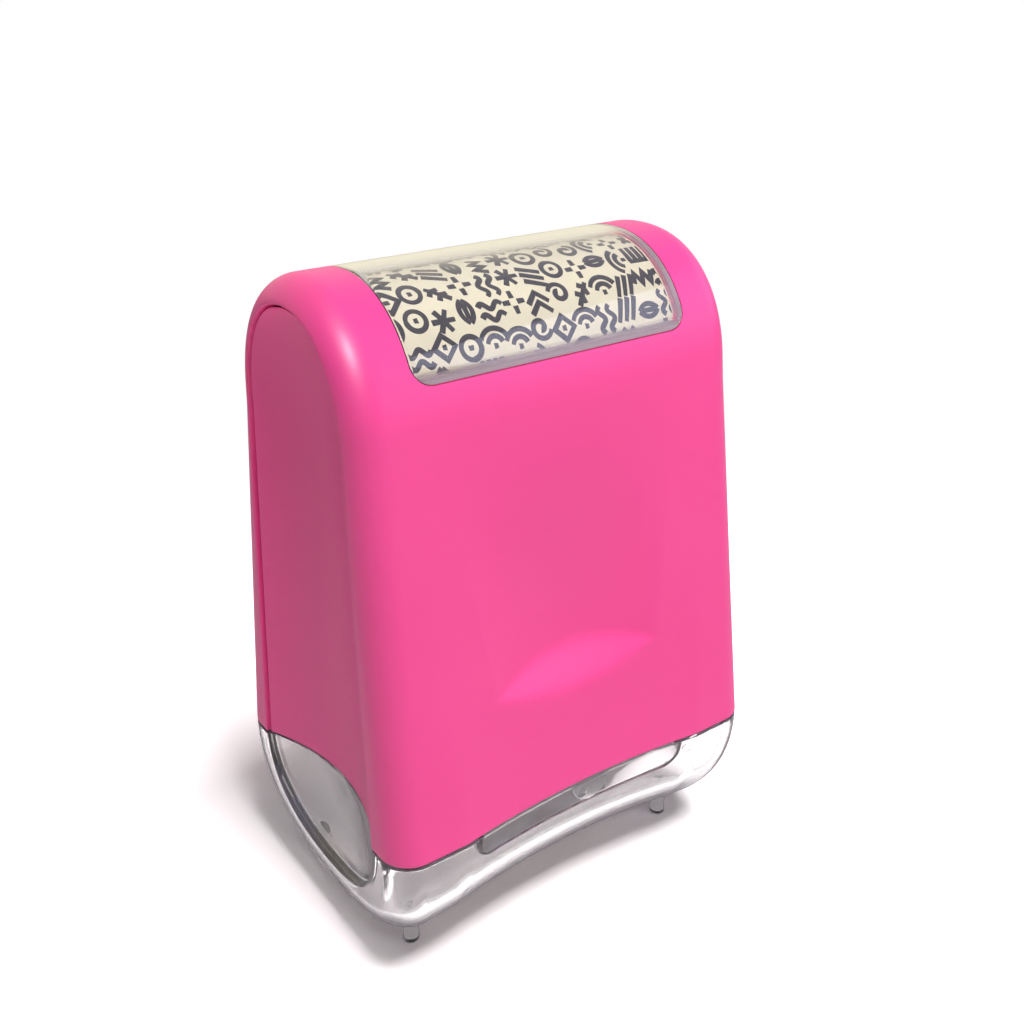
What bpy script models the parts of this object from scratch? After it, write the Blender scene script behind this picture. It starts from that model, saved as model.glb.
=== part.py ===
"""A privacy roller stamp, standing upright on its clear cap.

Metres, +Z up. The front faces -Y, the origin is on the floor below the middle, and the feet stand on z = 0.
"""

import math

import bmesh
import bpy
from mathutils import Vector

# Housing: a loaf shape, swept across the width from one outline of the side.
HOUSING_WIDTH = 0.0430
HOUSING_TAPER = 0.0021
HOUSING_DEPTH = 0.0316
HOUSING_RISE = 0.0494
ARCH_RISE = 0.0135
ARCH_DEPTH = 0.0229
ARCH_EXPONENT = 2.2
END_FILLET = 0.0031
SHELL_WALL = 0.0014
CREST_WALL = 0.0026
CREST_WALL_FADE = 0.0030

# Shallow dish across the front and the back. The margins lie between its creases and the end fillets.
DISH_DEPTH = 0.00105
DISH_LOW_MARGIN = 0.0043
DISH_HIGH_MARGIN = 0.00195

# Thumb scoop in the dish. Its heights are above the seam, where the cap meets the housing.
SCOOP_DEPTH = 0.0017
SCOOP_LIP_MIDDLE = 0.0097
SCOOP_LIP_SIDE = 0.0124
SCOOP_FLOOR = 0.0149
SCOOP_TOP = 0.0385
SCOOP_LOW_HALF_WIDTH = 0.0093
SCOOP_HIGH_HALF_WIDTH = 0.0119

# Oval inset in each narrow side. The rim is the band between the outline and the oval.
RIM_AT_SEAM = 0.0048
RIM_AT_ARCH = 0.0026
RIM_AT_CREST = 0.0022
PANEL_STEP = 0.00035
PANEL_DISH = 0.0030
PANEL_WALL = 0.0012
PANEL_GROOVE = 0.0003

# Window over the crest, almost flush, with its smaller printed card in a bed under it.
WINDOW_SIDE_MARGIN = 0.00625
WINDOW_DROP = 0.0073
WINDOW_CORNER = 0.0016
WINDOW_STAND = 0.0001
WINDOW_WALL = 0.0010
CARD_WALL = 0.00025
CARD_GAP = 0.0002
CARD_MARGIN = 0.0006

# Clear cap with four feet and two tongues that plug into the housing.
CAP_MIDDLE_DROP = 0.0133
CAP_END_SAG = 0.0012
CAP_EXPONENT = 2.3
CAP_END_TAPER = 0.0010
CAP_WALL = 0.0013
CAP_LOW_FILLET = 0.0048
CAP_LOW_RIM = 0.0059
FOOT_RISE = 0.0013
FOOT_RADIUS = 0.00085
FOOT_CHAMFER = 0.00025
FOOT_BEVEL = 0.0004
FOOT_END_MARGIN = 0.0051
FOOT_FACE_MARGIN = 0.0076
TONGUE_ROOM = 0.0012
TONGUE_WALL = 0.0010
TONGUE_RISE = 0.0032
TONGUE_ROOT = 0.0034
TONGUE_ROOT_INSET = 0.0010

# Roller. The reach is how far it stands out below the seam.
ROLLER_REACH = 0.0061
ROLLER_ROOM = 0.0008
PRINT_WALL = 0.0014
FELT_WALL = 0.0018
CORE_WALL = 0.0018
AXLE_RADIUS = 0.0015
HUB_WALL = 0.0007
HUB_PLUG_LENGTH = 0.0040
HUB_MARGIN = 0.0006
WASHER_WALL = 0.0004
WASHER_RADIUS = 0.0035
INK_HOLE_RADIUS = 0.0009
INK_PLUG_HEAD_RADIUS = 0.0013
INK_PLUG_HEAD_WALL = 0.0003
INK_PLUG_LENGTH = 0.0010

# Cartridge: a left cheek, a bridge and two bars in one moulding, and an end cheek held on by screws.
CHEEK_WALL = 0.0014
CHEEK_FOOT_STEP = 0.0023
CHEEK_SHOULDER_RISE = 0.0055
CHEEK_CORNER = 0.0016
BRIDGE_MARGIN = 0.0038
BRIDGE_WALL = 0.0015
BRIDGE_RISE = 0.0022
BAR_DEPTH = 0.0026
BAR_HEIGHT = 0.0030
BAR_MARGIN = 0.0007
BAR_ROOM = 0.00083
TAB_ROOM = 0.0012
TAB_WALL = 0.0012
TAB_RISE = 0.0060

# Self-tapping screws, one size for the end cheek and one for the saddle.
CHEEK_SCREW_RADIUS = 0.0007
CHEEK_SCREW_LENGTH = 0.0060
CHEEK_SCREW_HEAD_RADIUS = 0.00115
CHEEK_SCREW_HEAD_WALL = 0.0008
SADDLE_SCREW_RADIUS = 0.0008
SADDLE_SCREW_LENGTH = 0.0070
SADDLE_SCREW_HEAD_RADIUS = 0.0018
SADDLE_SCREW_HEAD_WALL = 0.0011
SLOT_LENGTH_SHARE = 0.7
SLOT_WIDTH_SHARE = 0.13
SLOT_DEPTH_SHARE = 0.5

# Saddle: the frame inside the housing that the cartridge slides into.
SADDLE_ROOM = 0.00035
SADDLE_WALL = 0.0014
LEG_WALL = 0.0010
LEG_SPAN = 0.0049
LEG_LENGTH = 0.0135
LEG_COVER = 0.0024
EAR_HALF_DEPTH = 0.0034
EAR_SHOULDER = 0.0016
EAR_WALL = 0.0010
EAR_EDGE = 0.0017
PEG_RADIUS = 0.0014
PEG_RISE = 0.0054
POST_ROOM = 0.0021
POST_RADIUS = 0.0023
POST_HOLE_ROOM = 0.0015

# Clearances, and how far a cutter or a buried end runs past its face.
GAP = 0.0003
TOUCH = 0.0001
OVERRUN = 0.0010
BURY = 0.0006

# Counts, and shares of the sizes above.
FLARE_SHARES = (0.0, 0.13, 0.235, 0.285, 0.335, 0.385, 0.46, 0.60, 0.78, 1.0)
RIM_SHARES = (1.0, 0.62, 0.30, 0.12, 0.03)
FACE_SHARES = (-2.0, -1.55, -1.0, -0.78, -0.6, -0.4, -0.2, 0.0, 0.2, 0.4, 0.6, 0.78, 1.0, 1.55, 2.0)
CAP_FACE_SHARES = (-2.0, -1.5, -1.0, -0.65, -0.3, 0.0, 0.3, 0.65, 1.0, 1.5, 2.0)
RECESS_SHARES = (0.0, 0.35, 0.62, 0.82, 0.94, 0.98)
RECESS_SIDE_EXPONENT = 2.0
RECESS_LOW_EXPONENT = 3.5
OVAL_EXPONENT = 4.0
SADDLE_LEVEL_SHARE = 0.55
TAB_START_SHARE = 0.467
ARCH_ROWS = 8
CAP_ROWS = 9
PANEL_COLUMNS = 8
WINDOW_COLUMNS = 8
WINDOW_ROWS = 8
CORNER_ROWS = 4
TONGUE_COLUMNS = 8
CORNER_STEPS = 4
CHEEK_STEPS = 12
ROUND_STEPS = 32
SMALL_STEPS = 16

# Places on the outside, worked out from the sizes.
TOP_HALF_WIDTH = (HOUSING_WIDTH - HOUSING_TAPER) / 2
CAP_END_DROP = CAP_MIDDLE_DROP + CAP_END_SAG
SEAM_Z = FOOT_RISE + CAP_END_DROP + GAP
CAP_RIM_Z = SEAM_Z - GAP
CREST_Z = SEAM_Z + HOUSING_RISE
ARCH_Z = CREST_Z - ARCH_RISE
CREASE_LOW_X = HOUSING_WIDTH / 2 - END_FILLET - DISH_LOW_MARGIN
CREASE_HIGH_X = TOP_HALF_WIDTH - END_FILLET - DISH_HIGH_MARGIN
WINDOW_X = TOP_HALF_WIDTH - WINDOW_SIDE_MARGIN
WINDOW_LOW_Z = CREST_Z - WINDOW_DROP
WINDOW_BED = WINDOW_WALL - WINDOW_STAND + CARD_GAP + CARD_WALL + CARD_GAP
OVAL_TOP_Z = CREST_Z - RIM_AT_CREST
OVAL_LOW_Z = SEAM_Z - CAP_END_DROP + CAP_LOW_RIM
OVAL_MIDDLE_Z = (OVAL_TOP_Z + OVAL_LOW_Z) / 2
OVAL_HALF_HEIGHT = (OVAL_TOP_Z - OVAL_LOW_Z) / 2
FOOT_X = HOUSING_WIDTH / 2 - FOOT_END_MARGIN
FOOT_Y = HOUSING_DEPTH / 2 - FOOT_FACE_MARGIN

# Colours, linear red, green and blue with alpha.
PINK = (1.0, 0.11, 0.35, 1.0)
CLEAR = (0.85, 0.85, 0.88, 0.35)
CREAM = (0.9, 0.86, 0.72, 1.0)
FRAME_GREY = (0.25, 0.23, 0.25, 1.0)
GREY = (0.40, 0.39, 0.41, 1.0)
STEEL = (0.6, 0.6, 0.62, 1.0)
RUBBER = (0.78, 0.72, 0.63, 1.0)
FELT_GREY = (0.1, 0.1, 0.12, 1.0)


def clear_scene():
    for thing in list(bpy.data.objects):
        bpy.data.objects.remove(thing, do_unlink=True)


def material(name, colour, roughness, metallic=0.0):
    made = bpy.data.materials.new(name)
    made.use_nodes = True
    shader = made.node_tree.nodes["Principled BSDF"]
    shader.inputs["Base Color"].default_value = colour
    shader.inputs["Alpha"].default_value = colour[3]
    shader.inputs["Roughness"].default_value = roughness
    shader.inputs["Metallic"].default_value = metallic
    made.diffuse_color = colour
    return made


def add_object(name, shape, finish=None, pivot=(0.0, 0.0, 0.0)):
    """One object from a bmesh in world places, with its origin at the pivot."""
    bmesh.ops.remove_doubles(shape, verts=shape.verts, dist=TOUCH / 100)
    bmesh.ops.recalc_face_normals(shape, faces=shape.faces)
    bmesh.ops.translate(shape, verts=shape.verts, vec=-Vector(pivot))
    mesh = bpy.data.meshes.new(name)
    shape.to_mesh(mesh)
    shape.free()
    mesh.shade_smooth()
    mesh.set_sharp_from_angle(angle=math.radians(30))
    thing = bpy.data.objects.new(name, mesh)
    thing.location = pivot
    bpy.context.scene.collection.objects.link(thing)
    if finish:
        mesh.materials.append(finish)
    return thing


def combine(thing, shape, operation):
    """Joins the shape to the object, or cuts it from the object, with a hidden helper."""
    helper = add_object(f"{thing.name}_{operation.lower()}", shape)
    helper.hide_render = True
    helper.display_type = "WIRE"
    step = thing.modifiers.new(operation.title(), "BOOLEAN")
    step.operation = operation
    step.solver = "EXACT"
    step.object = helper


def add_skin(shape, rows, closed=False):
    """Quads between neighbouring rows of points. Returns the rows as vertices."""
    made = [[shape.verts.new(point) for point in row] for row in rows]
    for low, high in zip(made, made[1:]):
        columns = list(range(len(low)))
        ends = columns[1:] + columns[:1]
        for here, there in zip(columns, ends):
            if closed or there > here:
                shape.faces.new((low[here], low[there], high[there], high[here]))
    return made


def add_shell(shape, outer, inner):
    """A closed wall between two skins of the same rows and columns."""
    first = add_skin(shape, outer)
    second = add_skin(shape, inner)
    edges = (
        (first[0], second[0]),
        (first[-1], second[-1]),
        ([row[0] for row in first], [row[0] for row in second]),
        ([row[-1] for row in first], [row[-1] for row in second]),
    )
    for one, two in edges:
        for index in range(len(one) - 1):
            shape.faces.new((one[index], one[index + 1], two[index + 1], two[index]))


def add_loft(shape, loops):
    """A solid through closed loops of points, with a face over each end."""
    made = add_skin(shape, loops, closed=True)
    shape.faces.new(made[0])
    shape.faces.new(made[-1])


def add_prism(shape, outline, axis, low, high):
    """The outline, given along the other two axes in X, Y, Z order, extruded from low to high."""
    place = {"X": lambda a, b, at: (at, a, b), "Y": lambda a, b, at: (a, at, b), "Z": lambda a, b, at: (a, b, at)}
    add_loft(shape, [[place[axis](a, b, at) for a, b in outline] for at in (low, high)])


def add_block(shape, low, high):
    outline = ((low[0], low[1]), (high[0], low[1]), (high[0], high[1]), (low[0], high[1]))
    add_prism(shape, outline, "Z", low[2], high[2])


def add_turned(shape, profile, centre, axis, steps):
    """A profile of (place along the axis, radius) points, turned round the axis through the centre.

    A profile that starts and ends at radius 0 is a solid, and any other closes on itself as a ring.
    """
    along = Vector((1.0, 0.0, 0.0)) if axis == "X" else Vector((0.0, 0.0, 1.0))
    out = Vector((0.0, 0.0, 1.0)) if axis == "X" else Vector((1.0, 0.0, 0.0))
    verts = [shape.verts.new(Vector(centre) + along * place + out * radius) for place, radius in profile]
    edges = [shape.edges.new(pair) for pair in zip(verts, verts[1:])]
    if profile[0][1] > 0.0:
        edges.append(shape.edges.new((verts[-1], verts[0])))
    bmesh.ops.spin(
        shape, geom=verts + edges, cent=centre, axis=along, angle=math.tau, steps=steps, use_merge=True
    )


def smooth(value):
    value = min(max(value, 0.0), 1.0)
    return value * value * (3.0 - 2.0 * value)


def mix(low, high, share):
    return low + (high - low) * share


def oval_arc(angle, depth, rise, exponent):
    """Half depth, rise and outward lean on a quarter of a squarish oval, from its side to its top."""
    across = max(math.cos(angle), 0.0) ** (2.0 / exponent)
    up = max(math.sin(angle), 0.0) ** (2.0 / exponent)
    lean = math.atan2(up ** (exponent - 1.0) / rise, across ** (exponent - 1.0) / depth)
    return depth * across, rise * up, lean


def arch_row(angle):
    depth, rise, lean = oval_arc(angle, ARCH_DEPTH / 2, ARCH_RISE, ARCH_EXPONENT)
    return depth, ARCH_Z + rise, lean


def arch_angle(height):
    share = (height - ARCH_Z) / ARCH_RISE
    return math.asin(min(max(share, 0.0), 1.0) ** (ARCH_EXPONENT / 2.0))


def arch_start():
    """The angle on the arch where the straight flare from the seam meets it as a tangent."""

    def slope(angle):
        depth, height, _ = arch_row(angle)
        return (HOUSING_DEPTH / 2 - depth) / (height - SEAM_Z)

    return min((math.radians(45.0) * step / 400 for step in range(1, 401)), key=slope)


ARCH_START = arch_start()
FLARE_TOP_DEPTH, FLARE_TOP_Z, _ = arch_row(ARCH_START)
FLARE_SLOPE = (HOUSING_DEPTH / 2 - FLARE_TOP_DEPTH) / (FLARE_TOP_Z - SEAM_Z)

# Places inside. The saddle and the cartridge fill the room between the two panels and the two faces.
INNER_X = TOP_HALF_WIDTH - PANEL_STEP - PANEL_DISH - PANEL_WALL
CHEEK_OUTER_X = INNER_X - TOUCH
CHEEK_X = CHEEK_OUTER_X - CHEEK_WALL
WASHER_X = CHEEK_X - GAP / 2 - WASHER_WALL
HUB_X = WASHER_X - GAP / 2 - HUB_WALL
PRINT_X = HUB_X - TOUCH
SADDLE_X = CHEEK_OUTER_X + GAP + LEG_WALL
LEG_X = SADDLE_X - LEG_SPAN
TONGUE_X = LEG_X - TONGUE_ROOM
POST_X = INNER_X - EAR_WALL - POST_ROOM - POST_RADIUS
TAB_END_X = POST_X - SADDLE_SCREW_HEAD_RADIUS - TAB_ROOM
TAB_START_X = TAB_END_X * TAB_START_SHARE
SADDLE_Y = mix(HOUSING_DEPTH / 2, FLARE_TOP_DEPTH, SADDLE_LEVEL_SHARE) - SHELL_WALL - SADDLE_ROOM
SADDLE_NECK_Y = SADDLE_Y - SCOOP_DEPTH - DISH_DEPTH
SADDLE_WAIST_Y = EAR_HALF_DEPTH + EAR_SHOULDER
LEG_Y = SADDLE_Y - LEG_WALL
CHEEK_Y = LEG_Y - GAP
BRIDGE_Y = CHEEK_Y - BRIDGE_MARGIN
BAR_OUTER_Y = CHEEK_Y - BAR_MARGIN
BAR_INNER_Y = BAR_OUTER_Y - BAR_DEPTH
BAR_Y = (BAR_OUTER_Y + BAR_INNER_Y) / 2
ROLLER_RADIUS = CHEEK_Y - ROLLER_ROOM
FELT_RADIUS = ROLLER_RADIUS - PRINT_WALL
CORE_RADIUS = FELT_RADIUS - FELT_WALL
CORE_BORE = CORE_RADIUS - CORE_WALL
BORE_RADIUS = AXLE_RADIUS + TOUCH
CHEEK_FOOT_RADIUS = ROLLER_RADIUS - CHEEK_FOOT_STEP
AXIS_Z = SEAM_Z - ROLLER_REACH + ROLLER_RADIUS
INK_HOLE_Z = AXIS_Z + (FELT_RADIUS + CORE_RADIUS) / 2
BAR_Z = AXIS_Z + math.sqrt((ROLLER_RADIUS + BAR_ROOM) ** 2 - BAR_INNER_Y ** 2)
BRIDGE_Z = AXIS_Z + ROLLER_RADIUS + BRIDGE_RISE
CHEEK_TOP_Z = BRIDGE_Z + BRIDGE_WALL
CHEEK_SEAT_X = CHEEK_OUTER_X - TOUCH - CHEEK_SCREW_HEAD_WALL
SADDLE_SEAT_Z = CHEEK_TOP_Z + GAP + SADDLE_SCREW_HEAD_WALL
SADDLE_Z = SADDLE_SEAT_Z + TOUCH
SADDLE_TOP_Z = SADDLE_Z + SADDLE_WALL
PEG_Z = SADDLE_TOP_Z + PEG_RISE
EAR_TOP_Z = PEG_Z + PEG_RADIUS + EAR_EDGE
POST_TOP_Z = CREST_Z - (CREST_WALL + WINDOW_BED) / 2
POST_HOLE_DEPTH = SADDLE_SCREW_LENGTH - SADDLE_WALL + POST_HOLE_ROOM


def flare_depth(height):
    return HOUSING_DEPTH / 2 - (height - SEAM_Z) * FLARE_SLOPE


def half_width(height):
    share = (height - SEAM_Z) / (ARCH_Z - SEAM_Z)
    return mix(HOUSING_WIDTH / 2, TOP_HALF_WIDTH, min(max(share, 0.0), 1.0))


def crease(height):
    share = (height - SEAM_Z) / (WINDOW_LOW_Z - SEAM_Z)
    return mix(CREASE_LOW_X, CREASE_HIGH_X, min(max(share, 0.0), 1.0))


def side_rows():
    """Half of the side outline from the seam to the crest: half depth, height, lean and rim of each row."""
    rows = []
    for share in FLARE_SHARES:
        height = mix(SEAM_Z, FLARE_TOP_Z, share)
        lean = math.atan(FLARE_SLOPE) * share
        rows.append((flare_depth(height), height, lean, mix(RIM_AT_SEAM, RIM_AT_ARCH, share)))
    for step in range(1, ARCH_ROWS + 1):
        share = step / ARCH_ROWS
        depth, height, lean = arch_row(mix(ARCH_START, math.pi / 2, share))
        rows.append((depth, height, lean, mix(RIM_AT_ARCH, RIM_AT_CREST, share)))
    return rows


def scoop(x, rise):
    """How deep the thumb scoop is at this place. Its lip is an arc, and it fades out upwards."""
    opened = math.sin(min(max((rise - SCOOP_LIP_SIDE) / (SCOOP_TOP - SCOOP_LIP_SIDE), 0.0), 1.0) * math.pi / 2)
    side = (x / mix(SCOOP_LOW_HALF_WIDTH, SCOOP_HIGH_HALF_WIDTH, opened)) ** 2
    if side >= 1.0:
        return 0.0
    low = mix(SCOOP_LIP_MIDDLE, SCOOP_LIP_SIDE, side)
    high = mix(SCOOP_FLOOR, SCOOP_LIP_SIDE, side) + TOUCH
    fade = 1.0 - smooth((rise - SCOOP_FLOOR) / (SCOOP_TOP - SCOOP_FLOOR))
    return SCOOP_DEPTH * smooth((rise - low) / (high - low)) * fade * (1.0 - side)


def face_hollow(x, height):
    """How far the front or back face lies inside the plain loaf shape."""
    rise = height - SEAM_Z
    fade = 1.0 - smooth(rise / (WINDOW_LOW_Z - SEAM_Z))
    dish = DISH_DEPTH * fade * max(1.0 - (x / crease(height)) ** 2, 0.0)
    return dish + scoop(x, rise)


def shell_wall(x, height):
    """The wall is thicker under the window, where the bed is cut."""
    flat = half_width(height) - END_FILLET
    across = smooth((flat - abs(x)) / (flat - crease(height)))
    up = smooth((height - WINDOW_LOW_Z + CREST_WALL_FADE) / CREST_WALL_FADE)
    return mix(SHELL_WALL, CREST_WALL, across * up)


def face_x(share, edge, flat):
    """Shares up to 1 lie between the creases, and from 1 to 2 between the crease and the end fillet."""
    across = abs(share) * edge if abs(share) <= 1.0 else mix(edge, flat, abs(share) - 1.0)
    return math.copysign(across, share)


def face_point(row, share, walled):
    depth, height, lean, _ = row
    x = face_x(share, crease(height), half_width(height) - END_FILLET)
    inward = face_hollow(x, height) + (shell_wall(x, height) if walled else 0.0)
    return x, depth - inward * math.cos(lean), height - inward * math.sin(lean)


def rim_point(row, share, wall):
    """A point on the end fillet or the flat band beside it, with the wall taken off square to the skin."""
    depth, height, lean, rim = row
    turn = math.acos(max(1.0 - share * rim / END_FILLET, 0.0))
    inward = share * rim + wall * math.cos(turn)
    z = height - inward * math.sin(lean)
    x = half_width(z) - END_FILLET * (1.0 - math.sin(turn)) - wall * math.sin(turn)
    return x, depth - inward * math.cos(lean), z


def housing_skin(walled):
    """Rows of points from the seam in front, over the crest, to the seam behind, each from left to right."""
    wall = SHELL_WALL if walled else 0.0
    half = side_rows()
    rows = []
    for row, facing in [(row, -1.0) for row in half] + [(row, 1.0) for row in half[-2::-1]]:
        rim = [rim_point(row, share, wall) for share in RIM_SHARES]
        face = [face_point(row, share, walled) for share in FACE_SHARES]
        points = [(-x, y, z) for x, y, z in rim] + face + rim[::-1]
        rows.append([(x, facing * y, z) for x, y, z in points])
    return rows


def window_slab(margin, outer, inner):
    """A curved sheet over the crest with rounded lower corners, between two heights above the skin.

    The margin is how far its edge lies inside the window's edge.
    """
    half = WINDOW_X - margin
    low_z = WINDOW_LOW_Z + margin
    corner = WINDOW_CORNER - margin
    heights = [mix(low_z, low_z + corner, 1.0 - math.cos(math.pi / 2 * step / CORNER_ROWS))
               for step in range(CORNER_ROWS + 1)]
    angles = [arch_angle(height) for height in heights]
    angles += [mix(angles[-1], math.pi / 2, step / WINDOW_ROWS) for step in range(1, WINDOW_ROWS + 1)]
    skins = []
    for stand in (outer, inner):
        rows = []
        for angle, facing in [(angle, -1.0) for angle in angles] + [(angle, 1.0) for angle in angles[-2::-1]]:
            depth, height, lean = arch_row(angle)
            short = max(low_z + corner - height, 0.0)
            across = half - corner + math.sqrt(max(corner ** 2 - short ** 2, 0.0))
            y = facing * (depth + stand * math.cos(lean))
            z = height + stand * math.sin(lean)
            rows.append([(across * (2 * step / WINDOW_COLUMNS - 1), y, z) for step in range(WINDOW_COLUMNS + 1)])
        skins.append(rows)
    shape = bmesh.new()
    add_shell(shape, *skins)
    return shape


def make_housing_shell(pink):
    shape = bmesh.new()
    add_shell(shape, housing_skin(False), housing_skin(True))
    shell = add_object("housing_shell", shape, pink)
    posts = bmesh.new()
    cuts = window_slab(-GAP, OVERRUN, -WINDOW_BED)
    for side in (-1, 1):
        centre = (side * POST_X, 0.0, SADDLE_TOP_Z + TOUCH)
        height = POST_TOP_Z - centre[2]
        hole = SADDLE_SCREW_RADIUS + TOUCH
        add_turned(posts, [(0.0, 0.0), (0.0, POST_RADIUS), (height, POST_RADIUS), (height, 0.0)],
                   centre, "Z", SMALL_STEPS)
        add_turned(cuts, [(-OVERRUN, 0.0), (-OVERRUN, hole), (POST_HOLE_DEPTH, hole), (POST_HOLE_DEPTH, 0.0)],
                   centre, "Z", SMALL_STEPS)
    combine(shell, posts, "UNION")
    combine(shell, cuts, "DIFFERENCE")
    return shell


def dish_at(height):
    """How deep the oval's dish is on its middle line."""
    share = abs(height - OVAL_MIDDLE_Z) / OVAL_HALF_HEIGHT
    return PANEL_DISH * math.sqrt(max(1.0 - share ** OVAL_EXPONENT, 0.0))


def panel_loop(row):
    """One cut across the panel: its outer face from front to back, then its inner face back again."""
    depth, height, lean, rim = row
    offset = rim + PANEL_GROOVE
    turn = math.acos(max(1.0 - offset / END_FILLET, 0.0))
    loop = []
    for wall in (0.0, PANEL_WALL):
        inward = offset + wall * math.cos(turn)
        y = depth - inward * math.cos(lean)
        z = height - inward * math.sin(lean)
        base = half_width(z) - END_FILLET * (1.0 - math.sin(turn)) - PANEL_STEP - wall * math.sin(turn)
        face = []
        for step in range(PANEL_COLUMNS + 1):
            side = 2 * step / PANEL_COLUMNS - 1
            face.append((base - dish_at(z) * (1.0 - side ** 2), side * max(y, 0.0), z))
        loop += face if wall == 0.0 else face[::-1]
    return loop


def make_side_panel(name, side, pink):
    shape = bmesh.new()
    add_loft(shape, [[(side * x, y, z) for x, y, z in panel_loop(row)] for row in side_rows()])
    panel = add_object(name, shape, pink)
    peg = bmesh.new()
    low = INNER_X - EAR_WALL - BURY
    high = half_width(PEG_Z) - PANEL_STEP - dish_at(PEG_Z) - PANEL_WALL + BURY
    add_turned(peg, [(side * low, 0.0), (side * low, PEG_RADIUS), (side * high, PEG_RADIUS), (side * high, 0.0)],
               (0.0, 0.0, PEG_Z), "X", SMALL_STEPS)
    combine(panel, peg, "UNION")


def make_window(clear, cream):
    top = WINDOW_STAND - WINDOW_WALL
    lens = window_slab(0.0, WINDOW_STAND, top)
    add_object("window_lens", lens, clear)
    card_top = top - CARD_GAP
    card = window_slab(CARD_MARGIN, card_top, card_top - CARD_WALL)
    add_object("pattern_card", card, cream)


def cap_half_width(height):
    return HOUSING_WIDTH / 2 - CAP_END_TAPER * ((CAP_RIM_Z - height) / CAP_END_DROP) ** 2


def cap_face_point(angle, share, wall):
    fillet = mix(END_FILLET, CAP_LOW_FILLET, math.sin(angle) ** 2)
    flat = HOUSING_WIDTH / 2 - CAP_END_TAPER * math.sin(angle) ** 2 - fillet
    x = face_x(share, CREASE_LOW_X, flat)
    drop = mix(CAP_MIDDLE_DROP, CAP_END_DROP, (x / flat) ** 2)
    depth, fall, lean = oval_arc(angle, HOUSING_DEPTH / 2, drop, CAP_EXPONENT)
    dish = DISH_DEPTH * max(1.0 - (x / CREASE_LOW_X) ** 2, 0.0) * math.cos(angle) ** 2
    inward = wall + dish
    return x, depth - inward * math.cos(lean), CAP_RIM_Z - fall + inward * math.sin(lean)


def cap_rim_point(angle, share, wall):
    fillet = mix(END_FILLET, CAP_LOW_FILLET, math.sin(angle) ** 2)
    rim = mix(RIM_AT_SEAM, CAP_LOW_RIM, math.sin(angle))
    depth, fall, lean = oval_arc(angle, HOUSING_DEPTH / 2, CAP_END_DROP, CAP_EXPONENT)
    turn = math.acos(max(1.0 - share * rim / fillet, 0.0))
    inward = share * rim + wall * math.cos(turn)
    y = depth - inward * math.cos(lean)
    z = CAP_RIM_Z - fall + inward * math.sin(lean)
    return cap_half_width(z) - fillet * (1.0 - math.sin(turn)) - wall * math.sin(turn), y, z


def cap_recess_point(angle, share, wall):
    """A point in the lower end of the oval dish, on a ray from the middle of the rim to the oval's edge."""
    _, edge_y, edge_z = cap_rim_point(angle, 1.0, 0.0)
    z = mix(CAP_RIM_Z, edge_z, share)
    exponent = mix(RECESS_SIDE_EXPONENT, RECESS_LOW_EXPONENT, math.sin(angle))
    dish = dish_at(SEAM_Z) * (1.0 - share ** exponent)
    return cap_half_width(z) - PANEL_STEP - dish - wall, share * edge_y, z


def cap_skin(wall):
    rows = []
    angles = [math.pi / 2 * step / CAP_ROWS for step in range(CAP_ROWS + 1)]
    for angle, facing in [(angle, -1.0) for angle in angles] + [(angle, 1.0) for angle in angles[-2::-1]]:
        end = [cap_recess_point(angle, share, wall) for share in RECESS_SHARES]
        end += [cap_rim_point(angle, share, wall) for share in RIM_SHARES]
        face = [cap_face_point(angle, share, wall) for share in CAP_FACE_SHARES]
        points = [(-x, y, z) for x, y, z in end] + face + end[::-1]
        rows.append([(x, facing * y, z) for x, y, z in points])
    return rows


def tongue_loop(x, facing):
    """A cut through the tongue: a root inside the cap's wall, then a thinner blade inside the housing."""
    root = TONGUE_ROOT_INSET
    blade = SHELL_WALL + GAP
    back = blade + TONGUE_WALL
    low = SEAM_Z - TONGUE_ROOT
    shoulder = CAP_RIM_Z - TOUCH
    high = SEAM_Z + TONGUE_RISE
    corners = ((root, low), (root, shoulder), (blade, shoulder), (blade, high), (back, high), (back, low))
    return [(x, facing * (flare_depth(z) - face_hollow(x, z) - inset), z) for inset, z in corners]


def foot_top(x, y):
    """Inside the wall of the cap's floor, above a foot."""
    flat = cap_half_width(SEAM_Z - CAP_END_DROP) - CAP_LOW_FILLET
    drop = mix(CAP_MIDDLE_DROP, CAP_END_DROP, min(x / flat, 1.0) ** 2)
    share = (1.0 - (y / (HOUSING_DEPTH / 2)) ** CAP_EXPONENT) ** (1.0 / CAP_EXPONENT)
    return CAP_RIM_Z - drop * share + CAP_WALL * 3 / 4


def make_cap(clear):
    shape = bmesh.new()
    add_shell(shape, cap_skin(0.0), cap_skin(CAP_WALL))
    cap = add_object("clear_cap", shape, clear)
    extras = bmesh.new()
    for facing in (-1.0, 1.0):
        places = [TONGUE_X * (2 * step / TONGUE_COLUMNS - 1) for step in range(TONGUE_COLUMNS + 1)]
        add_loft(extras, [tongue_loop(x, facing) for x in places])
    top = foot_top(FOOT_X, FOOT_Y)
    tip = FOOT_RADIUS - FOOT_CHAMFER
    profile = [(0.0, 0.0), (0.0, tip), (FOOT_BEVEL, FOOT_RADIUS), (top, FOOT_RADIUS), (top, 0.0)]
    for side in (-1, 1):
        for facing in (-1, 1):
            centre = (side * FOOT_X, facing * FOOT_Y, 0.0)
            add_turned(extras, profile, centre, "Z", SMALL_STEPS)
    combine(cap, extras, "UNION")


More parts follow.
